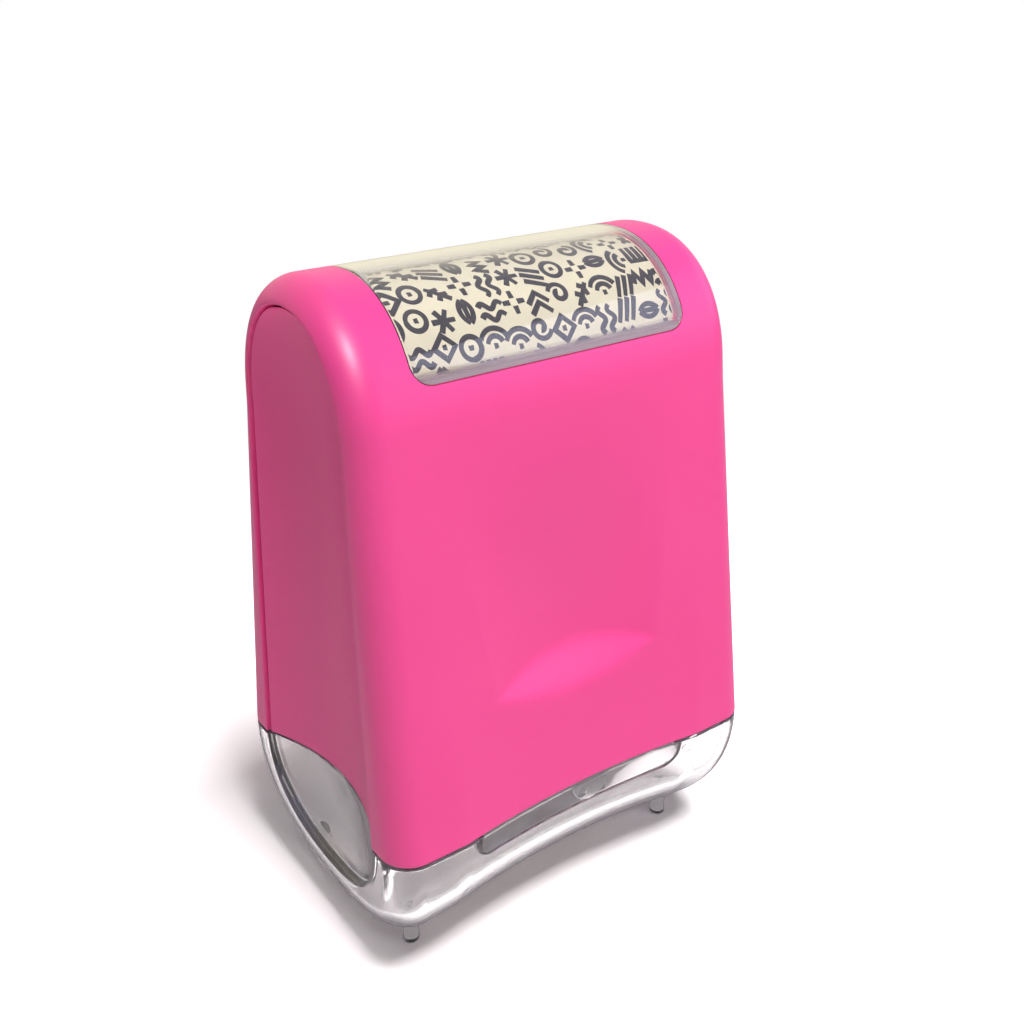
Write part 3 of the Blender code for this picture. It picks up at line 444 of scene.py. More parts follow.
RIM_COLUMNS = [1.0 - math.cos(math.pi / 2 * step / 14) for step in range(14, 0, -1)]
FACE_COLUMNS = [-2.0] + steps(-2.0, -1.0, 6) + steps(-1.0, 1.0, 64) + steps(1.0, 2.0, 6)


def housing_loops():
    """Closed loops round the wall, each over the outer skin from left to right and back along the inner one."""
    loops = []
    for row, facing in both_faces(side_rows()):
        loop = []
        for walled in (False, True):
            wall = SHELL_WALL if walled else 0.0
            rim = [rim_point(row, share, wall) for share in RIM_COLUMNS]
            face = [face_point(row, share, walled) for share in FACE_COLUMNS]
            skin = [(-x, y, z) for x, y, z in rim] + face + rim[::-1]
            loop += skin[::-1] if walled else skin
        loops.append([(x, facing * y, z) for x, y, z in loop])
    return loops


def window_loops(margin, outer, inner):
    """Closed loops through a curved sheet over the crest with rounded lower corners, between two heights.

    The margin is how far its edge lies inside the window's edge.
    """
    columns, rows, corner_rows = 48, 36, 9
    low_z = WINDOW_LOW_Z + margin
    corner = WINDOW_CORNER - margin
    heights = [mix(low_z, low_z + corner, 1.0 - math.cos(math.pi / 2 * step / corner_rows))
               for step in range(corner_rows + 1)]
    angles = [arch_angle(height) for height in heights]
    angles += steps(angles[-1], math.pi / 2, rows)
    loops = []
    for angle, facing in both_faces(angles):
        depth, height, lean = arch_row(angle)
        short = max(low_z + corner - height, 0.0)
        half = WINDOW_X - margin - corner + math.sqrt(max(corner ** 2 - short ** 2, 0.0))
        over, under = ([(half * (2 * step / columns - 1), facing * (depth + stand * math.cos(lean)),
                         height + stand * math.sin(lean)) for step in range(columns + 1)] for stand in (outer, inner))
        loops.append(over + under[::-1])
    return loops


def cap_half_width(height):
    return HOUSING_HALF_WIDTH - CAP_END_TAPER * ((CAP_RIM_Z - height) / CAP_END_DROP) ** 2


def cap_face_point(angle, share, wall):
    fillet = mix(END_FILLET, CAP_LOW_FILLET, math.sin(angle) ** 2)
    flat = HOUSING_HALF_WIDTH - CAP_END_TAPER * math.sin(angle) ** 2 - fillet
    x = face_x(share, CREASE_LOW_X, flat)
    drop = mix(CAP_MIDDLE_DROP, CAP_END_DROP, (x / flat) ** 2)
    depth, fall, lean = oval_arc(angle, HOUSING_HALF_DEPTH, drop, CAP_EXPONENT)
    inward = wall + DISH_DEPTH * max(1.0 - (x / CREASE_LOW_X) ** 2, 0.0) * math.cos(angle) ** 2
    return x, depth - inward * math.cos(lean), CAP_RIM_Z - fall + inward * math.sin(lean)


def cap_rim_point(angle, share, wall):
    fillet = mix(END_FILLET, CAP_LOW_FILLET, math.sin(angle) ** 2)
    rim = mix(RIM_AT_SEAM, CAP_LOW_RIM, math.sin(angle))
    depth, fall, lean = oval_arc(angle, HOUSING_HALF_DEPTH, CAP_END_DROP, CAP_EXPONENT)
    turn = math.acos(max(1.0 - share * rim / fillet, 0.0))
    inward = share * rim + wall * math.cos(turn)
    z = CAP_RIM_Z - fall + inward * math.sin(lean)
    x = cap_half_width(z) - fillet * (1.0 - math.sin(turn)) - wall * math.sin(turn)
    return x, depth - inward * math.cos(lean), z


def cap_recess_point(angle, share, wall):
    _, edge_y, edge_z = cap_rim_point(angle, 1.0, 0.0)
    z = mix(CAP_RIM_Z, edge_z, share)
    exponent = mix(2.0, 3.5, math.sin(angle))
    dish = dish_at(SEAM_Z) * (1.0 - share ** exponent)
    return cap_half_width(z) - PANEL_STEP - dish - wall, share * edge_y, z


RECESS_COLUMNS = (0.0, 0.12, 0.24, 0.35, 0.45, 0.54, 0.62, 0.69, 0.75, 0.81, 0.86, 0.90, 0.94, 0.965, 0.98)
CAP_FACE_COLUMNS = [-2.0] + steps(-2.0, -1.0, 6) + steps(-1.0, 1.0, 44) + steps(1.0, 2.0, 6)


def cap_loops():
    loops = []
    angles = [math.pi / 2 * step / 40 for step in range(41)]
    for angle, facing in both_faces(angles):
        loop = []
        for wall in (0.0, CAP_WALL):
            end = [cap_recess_point(angle, share, wall) for share in RECESS_COLUMNS]
            end += [cap_rim_point(angle, share, wall) for share in RIM_COLUMNS]
            face = [cap_face_point(angle, share, wall) for share in CAP_FACE_COLUMNS]
            skin = [(-x, y, z) for x, y, z in end] + face + end[::-1]
            loop += skin[::-1] if wall else skin
        loops.append([(x, facing * y, z) for x, y, z in loop])
    return loops


# Finishes. The noise scales are features per metre: 5200 is one every 0.19 mm.

def linear(code):
    """A linear colour from an sRGB hex code."""
    parts = [int(code[place:place + 2], 16) / 255 for place in (1, 3, 5)]
    return tuple(part / 12.92 if part <= 0.04045 else ((part + 0.055) / 1.055) ** 2.4 for part in parts) + (1.0,)


def add_node(tree, kind, settings=None, links=None):
    """Adds a node, with its settings and with a value or another node's output for each named input."""
    made = tree.nodes.new(kind)
    for name, value in (settings or {}).items():
        setattr(made, name, value)
    for name, value in (links or {}).items():
        if isinstance(value, bpy.types.NodeSocket):
            tree.links.new(value, made.inputs[name])
        else:
            made.inputs[name].default_value = value
    return made


def new_finish(name):
    made = bpy.data.materials.new(name)
    made.use_nodes = True
    made.node_tree.nodes.clear()
    return made, made.node_tree


def pink_abs():
    """Injection-moulded ABS with a fine spark-eroded grain: an even colour, a soft sheen and no sharp highlight.

    The grain is 0.19 mm wide and the mottle 17 mm. Specks of dust 0.3 mm wide lie in cells of 5 mm, and one shows
    where the surface cuts through it.
    """
    made, tree = new_finish("pink moulded ABS")
    place = add_node(tree, "ShaderNodeTexCoord").outputs["Object"]
    grain = add_node(tree, "ShaderNodeTexNoise", links={"Vector": place, "Scale": 5200.0, "Detail": 2.0})
    cloud = add_node(tree, "ShaderNodeTexNoise", links={"Vector": place, "Scale": 60.0, "Detail": 3.0})
    tone = add_node(tree, "ShaderNodeMix", {"data_type": "RGBA"}, {
        "Factor": cloud.outputs["Fac"], "A": linear("#F53D90"), "B": linear("#FA4698")})
    speck = add_node(tree, "ShaderNodeTexVoronoi", links={"Vector": place, "Scale": 190.0})
    dust = add_node(tree, "ShaderNodeMapRange", links={
        "Value": speck.outputs["Distance"], "From Min": 0.016, "From Max": 0.03, "To Min": 0.3, "To Max": 0.0})
    dusty = add_node(tree, "ShaderNodeMix", {"data_type": "RGBA"}, {
        "Factor": dust.outputs["Result"], "A": tone.outputs["Result"], "B": linear("#9E4A6A")})
    gloss = add_node(tree, "ShaderNodeMapRange", links={"Value": cloud.outputs["Fac"], "To Min": 0.36, "To Max": 0.46})
    bump = add_node(tree, "ShaderNodeBump", links={
        "Height": grain.outputs["Fac"], "Strength": 0.25, "Distance": 0.00002})
    shader = add_node(tree, "ShaderNodeBsdfPrincipled", links={
        "Base Color": dusty.outputs["Result"], "Roughness": gloss.outputs["Result"], "IOR": 1.54,
        "Specular IOR Level": 0.65, "Normal": bump.outputs["Normal"]})
    add_node(tree, "ShaderNodeOutputMaterial", links={"Surface": shader.outputs["BSDF"]})
    return made


def low_angle(tree, start, end, before, after):
    """Goes from one value to another as a surface turns from facing the ray (0) to lying along it (1)."""
    facing = add_node(tree, "ShaderNodeLayerWeight", links={"Blend": 0.5}).outputs["Facing"]
    return add_node(tree, "ShaderNodeMapRange", {"interpolation_type": "SMOOTHSTEP"}, {
        "Value": facing, "From Min": start, "From Max": end, "To Min": before, "To Max": after}).outputs["Result"]


def clear_moulded(name, tint, haze, veils):
    """Clear moulded plastic: glass-like, with a slight milky haze and faint flow ripples 7 mm apart.

    Light passes straight through it, but less where it meets the wall at a low angle. Each veil is a matt colour
    painted over the glass, with the share of the surface that it covers; the veils are painted shade and painted glare.
    """
    made, tree = new_finish(name)
    place = add_node(tree, "ShaderNodeTexCoord").outputs["Object"]
    flow = add_node(tree, "ShaderNodeTexNoise", links={"Vector": place, "Scale": 140.0, "Detail": 1.0})
    gloss = add_node(tree, "ShaderNodeMapRange", links={"Value": flow.outputs["Fac"], "To Min": 0.01, "To Max": 0.05})
    bump = add_node(tree, "ShaderNodeBump", links={"Height": flow.outputs["Fac"], "Strength": 0.1, "Distance": 0.00005})
    shader = add_node(tree, "ShaderNodeBsdfPrincipled", links={
        "Base Color": linear(tint), "Roughness": gloss.outputs["Result"], "IOR": 1.55,
        "Transmission Weight": 1.0 - haze, "Normal": bump.outputs["Normal"]})
    body = shader.outputs["BSDF"]
    for colour, covered in veils:
        matt = add_node(tree, "ShaderNodeBsdfPrincipled", links={
            "Base Color": linear(colour), "Roughness": 0.35, "IOR": 1.5})
        body = add_node(tree, "ShaderNodeMixShader", links={
            0: covered(tree), 1: body, 2: matt.outputs["BSDF"]}).outputs["Shader"]
    through = add_node(tree, "ShaderNodeBsdfTransparent", links={"Color": low_angle(tree, 0.2, 0.64, 0.72, 0.03)})
    shadow = add_node(tree, "ShaderNodeLightPath").outputs["Is Shadow Ray"]
    surface = add_node(tree, "ShaderNodeMixShader", links={0: shadow, 1: body, 2: through.outputs["BSDF"]})
    add_node(tree, "ShaderNodeOutputMaterial", links={"Surface": surface.outputs["Shader"]})
    return made


def painted_bed_shade(tree):
    """Painted shade: a mauve-grey strip along the window's lower edges and right end, darkest at the edge, which stands
    in for the shade over the edge of the lens's bed.
    """
    place = add_node(tree, "ShaderNodeTexCoord").outputs["Object"]
    parts = add_node(tree, "ShaderNodeSeparateXYZ", links={"Vector": place})
    low = add_node(tree, "ShaderNodeMapRange", {"interpolation_type": "SMOOTHSTEP"}, {
        "Value": parts.outputs["Z"], "From Min": WINDOW_LOW_Z, "From Max": WINDOW_LOW_Z + BED_SHADE_WIDTH,
        "To Min": 0.85, "To Max": 0.0})
    end = add_node(tree, "ShaderNodeMapRange", {"interpolation_type": "SMOOTHSTEP"}, {
        "Value": parts.outputs["X"], "From Min": WINDOW_X - BED_SHADE_WIDTH, "From Max": WINDOW_X - BED_SHADE_FULL_WIDTH,
        "To Min": 0.0, "To Max": 0.6})
    return add_node(tree, "ShaderNodeMath", {"operation": "MAXIMUM"}, {
        0: low.outputs["Result"], 1: end.outputs["Result"]}).outputs[0]


def painted_low_angle_glare(tree):
    """Painted glare: where the lens is seen along its surface, it is painted a matt cream that stands in for its bright
    reflection there, and this hides the print.
    """
    return low_angle(tree, 0.6, 0.82, 0.0, 0.8)


def painted_wall_shade(tree):
    """Painted shade: where the cap's thick wall is seen along its surface, it is painted a greyer matt tone."""
    return low_angle(tree, 0.5, 0.9, 0.0, 0.5)


def plain_finish(name, low, high, roughness, scale, bump_depth, metallic=0.0, ior=1.5):
    """A solid finish whose tone and gloss vary over a noise of the given scale."""
    made, tree = new_finish(name)
    place = add_node(tree, "ShaderNodeTexCoord").outputs["Object"]
    grain = add_node(tree, "ShaderNodeTexNoise", links={"Vector": place, "Scale": scale, "Detail": 3.0})
    tone = add_node(tree, "ShaderNodeMix", {"data_type": "RGBA"}, {
        "Factor": grain.outputs["Fac"], "A": linear(low), "B": linear(high)})
    gloss = add_node(tree, "ShaderNodeMapRange", links={
        "Value": grain.outputs["Fac"], "To Min": roughness - 0.05, "To Max": roughness + 0.05})
    bump = add_node(tree, "ShaderNodeBump", links={
        "Height": grain.outputs["Fac"], "Strength": 0.4, "Distance": bump_depth})
    shader = add_node(tree, "ShaderNodeBsdfPrincipled", links={
        "Base Color": tone.outputs["Result"], "Roughness": gloss.outputs["Result"], "Metallic": metallic, "IOR": ior,
        "Normal": bump.outputs["Normal"]})
    add_node(tree, "ShaderNodeOutputMaterial", links={"Surface": shader.outputs["BSDF"]})
    return made


PINK = pink_abs()

# Polished mould faces leave both clear pieces glossy. The cap is faintly milky, and the window isn't.
# The cap's veil is painted shade: a grey-mauve matt tone where its wall is seen along its surface.
CAP_CLEAR = clear_moulded("clear moulded polystyrene", "#F8F6F6", 0.04, (("#ADA2AC", painted_wall_shade),))
# The window's veils are painted light and shade: a cream painted glare where it is seen along its surface, and a
# mauve-grey painted shade along its lower edges and right end.
LENS_CLEAR = clear_moulded("clear acrylic window", "#FDFAF1", 0.0,
                           (("#EAE2C8", painted_low_angle_glare), ("#9C8B92", painted_bed_shade)))

# The coating makes the card smooth and cream with a dull sheen. Its ink is matt and a little bluish.
CARD = plain_finish("coated card", "#EBE5D2", "#F0EBDB", 0.45, 900.0, 0.000005)
INK = plain_finish("offset printing ink", "#1B1720", "#241F2A", 0.5, 1500.0, 0.000004)

# Acetal is waxy: fine matt greys with a soft sheen, the frame's darker than the roller's.
FRAME = plain_finish("grey moulded acetal frame", "#858186", "#918D91", 0.42, 2500.0, 0.00001, ior=1.48)
GREY = plain_finish("grey moulded acetal", "#A6A4A8", "#B2B0B4", 0.42, 2500.0, 0.00001, ior=1.48)

# Zinc makes the screws and the axle bright with a faint mottle. The felt is soaked dark and has no sheen, and the
# rubber is smooth, pale and soft to the eye.
STEEL = plain_finish("zinc plated steel", "#B9BBC0", "#CBCDD2", 0.28, 1800.0, 0.000004, metallic=1.0)
FELT = plain_finish("wool felt", "#2B2A30", "#4A4850", 0.95, 1600.0, 0.0001)
RUBBER = plain_finish("pale printing rubber", "#E4DCCF", "#EFE9DF", 0.55, 1200.0, 0.00002, ior=1.52)


# Marks: a set of plain shapes for the printed card and the roller. Each is drawn once, in a cell one unit wide.

def arc(x, y, radius, start, end, count=14):
    turns = [math.radians(mix(start, end, step / count)) for step in range(count + 1)]
    return [(x + radius * math.cos(turn), y + radius * math.sin(turn)) for turn in turns]


def wave(y, count=16):
    return [(-0.44 + 0.88 * step / count, y + 0.11 * math.sin(step / count * math.tau * 1.5))
            for step in range(count + 1)]


def curl(turns, count=26):
    points = []
    for step in range(count + 1):
        share = step / count
        angle = share * math.tau * turns
        points.append(((0.08 + 0.33 * share) * math.cos(angle), (0.08 + 0.33 * share) * math.sin(angle)))
    return points


MARKS = (
    [[(-0.42, 0.0), (0.42, 0.0)], [(-0.21, -0.37), (0.21, 0.37)], [(-0.21, 0.37), (0.21, -0.37)]],
    [[(-0.40, -0.02), (0.0, 0.36), (0.40, -0.02)], [(-0.40, -0.38), (0.0, 0.0), (0.40, -0.38)]],
    [arc(0.0, 0.0, 0.36, 0.0, 360.0, 24), [(-0.08, 0.0), (0.08, 0.0)]],
    [wave(0.2), wave(-0.18)],
    [[(-0.44, 0.32), (0.44, 0.32)]] + [[(x, 0.32), (x, -0.36)] for x in (-0.36, -0.12, 0.12, 0.36)],
    [[(x - 0.16, -0.38), (x + 0.16, 0.38)] for x in (-0.28, 0.0, 0.28)],
    [curl(1.2)],
    [[(0.0, 0.4), (0.4, 0.0), (0.0, -0.4), (-0.4, 0.0), (0.0, 0.4)], [(-0.08, 0.0), (0.08, 0.0)]],
    [arc(0.0, -0.26, 0.56, 25.0, 155.0), arc(0.0, -0.26, 0.3, 15.0, 165.0), [(-0.08, -0.28), (0.08, -0.28)]],
    [[(-0.3, -0.4), (0.28, 0.38)], [(-0.3, 0.06), (-0.06, -0.06), (-0.02, -0.34)],
     [(-0.08, 0.34), (0.14, 0.22), (0.2, -0.08)]],
    [arc(-0.28, 0.0, 0.5, -55.0, 55.0), arc(0.28, 0.0, 0.5, 125.0, 235.0), [(0.0, -0.28), (0.0, 0.28)]],
    [[(-0.44, -0.2), (-0.26, 0.22), (-0.08, -0.2), (0.1, 0.22), (0.28, -0.2), (0.44, 0.2)]],
    [[(0.0, 0.14), (0.0, 0.42)], [(0.0, -0.14), (0.0, -0.42)], [(0.14, 0.0), (0.42, 0.0)],
     [(-0.14, 0.0), (-0.42, 0.0)]],
)
STROKE = 0.18
LEVEL_STEP = 0.06

# Quarter turns that a mark is drawn at. Upright comes up twice as often as the others.
QUARTER_TURNS = (0, 0, 1, 2, 3)


def even_line(points, pitch=0.06):
    """The same line with a point at least every pitch."""
    line = [points[0]]
    for start, end in zip(points, points[1:]):
        count = max(1, round(math.dist(start, end) / pitch))
        line += [(mix(start[0], end[0], share), mix(start[1], end[1], share)) for share in steps(0.0, 1.0, count)]
    return line


def stroke_solid(points, level):
    """A ribbon along the line, a little wider at its start, between heights 0 and 1 plus its level."""
    line = even_line(points)
    ring = math.dist(points[0], points[-1]) < 0.01
    rows = []
    for place, (x, y) in enumerate(line):
        before = line[place - 1] if place else (line[-2] if ring else (x, y))
        after = line[place + 1] if place + 1 < len(line) else (line[1] if ring else (x, y))
        first = Vector((x - before[0], y - before[1]))
        second = Vector((after[0] - x, after[1] - y))
        first = first.normalized() if first.length > 1e-6 else second.normalized()
        second = second.normalized() if second.length > 1e-6 else first
        along = (first + second).normalized()
        side = Vector((-along.y, along.x))
        reach = STROKE / 2 * mix(1.12, 0.88, place / (len(line) - 1)) / max(along.dot(first), 0.5)
        rows.append([(x + side.x * reach * end, y + side.y * reach * end, height)
                     for end, height in ((-1, 0.0), (1, 0.0), (1, 1.0 + level), (-1, 1.0 + level))])
    return close_up(lay_grid("stroke", rows, closed=True))


def draw_marks():
    return [join([stroke_solid(points, LEVEL_STEP * level) for level, points in enumerate(mark)], f"mark{place}")
            for place, mark in enumerate(MARKS)]


def lay_marks(name, places, half_width, half_length, wrap):
    """Copies of the marks laid out flat, cut off at the edge of the print and then laid on a curved form.

    A place is (mark, across, along, size, turn).
    """
    copies = []
    for mark, across, along, size, turn in places:
        copied = bpy.data.objects.new("copy", mark.data.copy())
        bpy.context.scene.collection.objects.link(copied)
        for point in copied.data.vertices:
            x = point.co.x * math.cos(turn) - point.co.y * math.sin(turn)
            y = point.co.x * math.sin(turn) + point.co.y * math.cos(turn)
            point.co = Vector(((across + x * size) / MM, (along + y * size) / MM, point.co.z))
        copies.append(copied)
    printed = join(copies, name)
    for out_x, out_y in ((1.0, 0.0), (-1.0, 0.0), (0.0, 1.0), (0.0, -1.0)):
        start_edit(printed)
        bpy.ops.mesh.bisect(plane_co=(out_x * half_width / MM, out_y * half_length / MM, 0.0),
                            plane_no=(out_x, out_y, 0.0), use_fill=True, clear_outer=True)
        end_edit()
    start_edit(printed)
    bpy.ops.mesh.fill_holes(sides=0)
    end_edit()
    for point in printed.data.vertices:
        point.co = wrap(point.co.x * MM, point.co.y * MM, point.co.z)
    start_edit(printed)
    bpy.ops.mesh.normals_make_consistent(inside=False)
    end_edit()
    return printed


# Camera, from a fit of the photograph (degrees and millimetres), and a plain studio round the object.

CAMERA_ANGLES = (-35.405, 25.137, -0.529)
CAMERA_TARGET = (2.241, -0.003, 38.776)
CAMERA_DISTANCE = 114.722
CAMERA_LENS = 40.54
CAMERA_SENSOR = 36.0

# Linear colours of the sky and the floor for each kind of ray. Above 1 they only make up for the lamps' level.
SKY_LIGHT = (0.065, 0.065, 0.065, 1.0)
SKY_MIRRORED_FRONT = (0.66, 0.68, 0.95, 1.0)
SKY_MIRRORED_REAR = (0.98, 0.91, 0.74, 1.0)
SKY_THROUGH = (0.60, 0.57, 0.61, 1.0)
WHITE = (1.0, 1.0, 1.0, 1.0)
FLOOR_THROUGH = (1.85, 1.79, 1.82, 1.0)
FLOOR_SHOWN = (1.83, 1.73, 1.75, 1.0)
FLOOR_SIZE = 8.0
LAMP_AIM = (0.0, 0.0, 0.035)


def set_camera():
    azimuth, elevation, roll = (math.radians(value) for value in CAMERA_ANGLES)
    target = Vector(CAMERA_TARGET) * MM
    back = Vector((math.sin(azimuth) * math.cos(elevation), -math.cos(azimuth) * math.cos(elevation),
                   math.sin(elevation)))
    right = (-back).cross(Vector((0.0, 0.0, 1.0))).normalized()
    up = right.cross(-back)
    turned = math.cos(roll) * right + math.sin(roll) * up
    tall = -math.sin(roll) * right + math.cos(roll) * up
    lens = bpy.data.cameras.new("camera")
    lens.sensor_width = CAMERA_SENSOR
    lens.lens = CAMERA_LENS
    lens.clip_start = 0.005
    camera = bpy.data.objects.new("camera", lens)
    place = Matrix((turned, tall, back)).transposed().to_4x4()
    place.translation = target + back * CAMERA_DISTANCE * MM
    camera.matrix_world = place
    bpy.context.scene.collection.objects.link(camera)
    bpy.context.scene.camera = camera


def add_softbox(name, place, target, size, power, colour="#FFFFFF", lights=True, mirrored=True):
    """A flat lamp that lights rough surfaces, is mirrored in glossy ones, or does both."""
    lamp = bpy.data.lights.new(name, "AREA")
    lamp.shape = "RECTANGLE"
    lamp.size, lamp.size_y = size
    lamp.energy = power
    lamp.color = linear(colour)[:3]
    holder = bpy.data.objects.new(name, lamp)
    holder.location = place
    holder.rotation_euler = (Vector(place) - Vector(target)).to_track_quat("Z", "Y").to_euler()
    holder.visible_diffuse = lights
    holder.visible_glossy = mirrored
    holder.visible_transmission = mirrored
    bpy.context.scene.collection.objects.link(holder)


def seen_ray(tree, *kinds):
    """1 for rays of these kinds that reach the camera with no matt surface between, and 0 for all others."""
    ray = add_node(tree, "ShaderNodeLightPath")
    found = ray.outputs[kinds[0]]
    for kind in kinds[1:]:
        found = add_node(tree, "ShaderNodeMath", {"operation": "MAXIMUM"}, {0: found, 1: ray.outputs[kind]}).outputs[0]
    direct = add_node(tree, "ShaderNodeMath", {"operation": "LESS_THAN"}, {0: ray.outputs["Diffuse Depth"], 1: 0.5})
    return add_node(tree, "ShaderNodeMath", {"operation": "MULTIPLY"}, {0: found, 1: direct.outputs[0]}).outputs[0]


def by_ray(tree, carried, mirrored, through, shown):
    """The colour that a ray meets: one that carries light, a mirrored one, one through glass or a direct one."""
    colour = carried
    for kind, met in (("Is Glossy Ray", mirrored), ("Is Transmission Ray", through), ("Is Camera Ray", shown)):
        colour = add_node(tree, "ShaderNodeMix", {"data_type": "RGBA"}, {
            "Factor": seen_ray(tree, kind), "A": colour, "B": met}).outputs["Result"]
    return colour


def set_sky():
    """Dim for the light it carries, white behind the object, and cool to warm towards the rear in mirrorings."""
    scene = bpy.context.scene
    scene.view_settings.view_transform = "Standard"
    world = bpy.data.worlds.new("studio")
    world.use_nodes = True
    tree = world.node_tree
    tree.nodes.clear()
    rearward = add_node(tree, "ShaderNodeSeparateXYZ", links={
        "Vector": add_node(tree, "ShaderNodeTexCoord").outputs["Generated"]}).outputs["Y"]
    rear = add_node(tree, "ShaderNodeMapRange", {"interpolation_type": "SMOOTHSTEP"}, {
        "Value": rearward, "From Min": 0.2, "From Max": 0.75})
    mirrored = add_node(tree, "ShaderNodeMix", {"data_type": "RGBA"}, {
        "Factor": rear.outputs["Result"], "A": SKY_MIRRORED_FRONT, "B": SKY_MIRRORED_REAR})
    colour = by_ray(tree, SKY_LIGHT, mirrored.outputs["Result"], SKY_THROUGH, WHITE)
    sky = add_node(tree, "ShaderNodeBackground", links={"Color": colour, "Strength": 1.0})
    add_node(tree, "ShaderNodeOutputWorld", links={"Surface": sky.outputs["Background"]})
    scene.world = world


def white_paper():
    """Matt white paper, which keeps the object's shadow near it and fades to plain white further off."""
    made, tree = new_finish("white paper sweep")
    place = add_node(tree, "ShaderNodeTexCoord").outputs["Object"]
    along = add_node(tree, "ShaderNodeSeparateXYZ", links={"Vector": place}).outputs["Y"]
    mirrored = add_node(tree, "ShaderNodeMapRange", {"interpolation_type": "SMOOTHSTEP"}, {
        "Value": along, "From Min": -0.12, "From Max": 0.06, "To Min": 0.3, "To Max": 0.75})
    colour = by_ray(tree, linear("#F4F2F2"), mirrored.outputs["Result"], FLOOR_THROUGH, FLOOR_SHOWN)
    paper = add_node(tree, "ShaderNodeBsdfDiffuse", links={"Color": colour})
    away = add_node(tree, "ShaderNodeVectorMath", {"operation": "LENGTH"}, {0: place})
    far = add_node(tree, "ShaderNodeMapRange", {"interpolation_type": "SMOOTHSTEP"}, {
        "Value": away.outputs["Value"], "From Min": 0.065, "From Max": 0.14})
    white = add_node(tree, "ShaderNodeMath", {"operation": "MULTIPLY"}, {
        0: far.outputs["Result"], 1: seen_ray(tree, "Is Camera Ray", "Is Transmission Ray")})
    glow = add_node(tree, "ShaderNodeEmission", links={"Color": WHITE, "Strength": 1.0})
    both = add_node(tree, "ShaderNodeMixShader", links={
        0: white.outputs[0], 1: paper.outputs["BSDF"], 2: glow.outputs["Emission"]})
    add_node(tree, "ShaderNodeOutputMaterial", links={"Surface": both.outputs["Shader"]})
    return made


def set_studio():
    set_sky()
    bpy.ops.object.select_all(action="DESELECT")
    bpy.ops.mesh.primitive_plane_add(size=FLOOR_SIZE)
    floor = bpy.context.object
    floor.name = "floor"
    floor.data.materials.append(white_paper())
    add_softbox("key", (0.02, -0.249, 0.635), LAMP_AIM, (0.20, 0.20), 3.85, mirrored=False)
    add_softbox("top_fill", (-0.16, -0.02, 0.58), LAMP_AIM, (0.30, 0.30), 0.42, mirrored=False)
    add_softbox("right_fill", (0.16, -0.27, 0.12), LAMP_AIM, (0.18, 0.12), 0.19, mirrored=False)
    add_softbox("right_sheen", (0.42, -0.24, 0.26), LAMP_AIM, (0.50, 0.30), 0.75, "#D4D8FF", lights=False)
    add_softbox("spark", (-0.19, -0.18, 0.34), LAMP_AIM, (0.03, 0.03), 1.2, lights=False)


# Pieces.

def make_housing():
    shell = round_edges(close_up(lay_grid("housing_moulding", housing_loops(), closed=True)), EDGE)
    posts = [rod("post", POST_RADIUS, (side * POST_X, 0.0, POST_LOW_Z), (side * POST_X, 0.0, POST_HIGH_Z))
             for side in (-1, 1)]
    combine(shell, join(posts, "posts"), "UNION")
    bed = close_up(lay_grid("bed", window_loops(-BED_ROOM, OVERRUN, -WINDOW_BED), closed=True))
    combine(shell, bed, "DIFFERENCE")
    shade(shell, PINK)
    stand_for(shell, "housing", "pink_plastic", "housing_shell")


def panel_loops(side):
    loops = []
    for row in side_rows():
        depth, height, lean, rim = row
        offset = rim + PANEL_GROOVE
        turn = math.acos(max(1.0 - offset / END_FILLET, 0.0))
        loop = []
        for wall in (0.0, PANEL_WALL):
            inward = offset + wall * math.cos(turn)
            y = max(depth - inward * math.cos(lean), 0.0)
            z = height - inward * math.sin(lean)
            base = half_width(z) - END_FILLET * (1.0 - math.sin(turn)) - PANEL_STEP - wall * math.sin(turn)
            skin = []
            for step in range(41):
                across = 2 * step / 40 - 1
                skin.append((side * (base - dish_at(z) * (1.0 - across ** 2)), across * y, z))
            loop += skin[::-1] if wall else skin
        loops.append(loop)
    return loops


def make_panel(name, node, side):
    panel = round_edges(close_up(lay_grid(name, panel_loops(side), closed=True)), PANEL_EDGE)
    low = side * PEG_ROOT_X
    high = side * (half_width(PEG_Z) - PANEL_STEP - dish_at(PEG_Z) - PANEL_WALL + BURY)
    combine(panel, rod("peg", PEG_RADIUS, (low, 0.0, PEG_Z), (high, 0.0, PEG_Z)), "UNION")
    shade(panel, PINK)
    stand_for(panel, "housing", "pink_plastic", node)


def make_window(marks):
    lens = close_up(lay_grid("window_moulding", window_loops(
        LENS_MARGIN, WINDOW_STAND - LENS_DROP, WINDOW_STAND - WINDOW_WALL), closed=True))
    round_edges(lens, FINE_EDGE)
    shade(lens, LENS_CLEAR)
    stand_for(lens, "housing", "clear_plastic", "window_lens")
    card = close_up(lay_grid("card_sheet", window_loops(
        CARD_MARGIN, CARD_STAND, CARD_STAND - CARD_WALL), closed=True))
    shade(card, CARD)
    stand_for(card, "housing", "printed_card", "pattern_card")
    printed = print_card(marks)
    shade(printed, INK, 20.0)
    stand_for(printed, "housing", "printed_card")


def arch_table(stand):
    """Distance along the arch from the crest, with the angle there."""
    table = [(0.0, math.pi / 2)]
    depth, height, lean = arch_row(math.pi / 2)
    last = (depth + stand * math.cos(lean), height + stand * math.sin(lean))
    for step in range(1, 301):
        angle = math.pi / 2 * (1.0 - step / 400)
        depth, height, lean = arch_row(angle)
        here = (depth + stand * math.cos(lean), height + stand * math.sin(lean))
        table.append((table[-1][0] + math.dist(last, here), angle))
        last = here
    return table


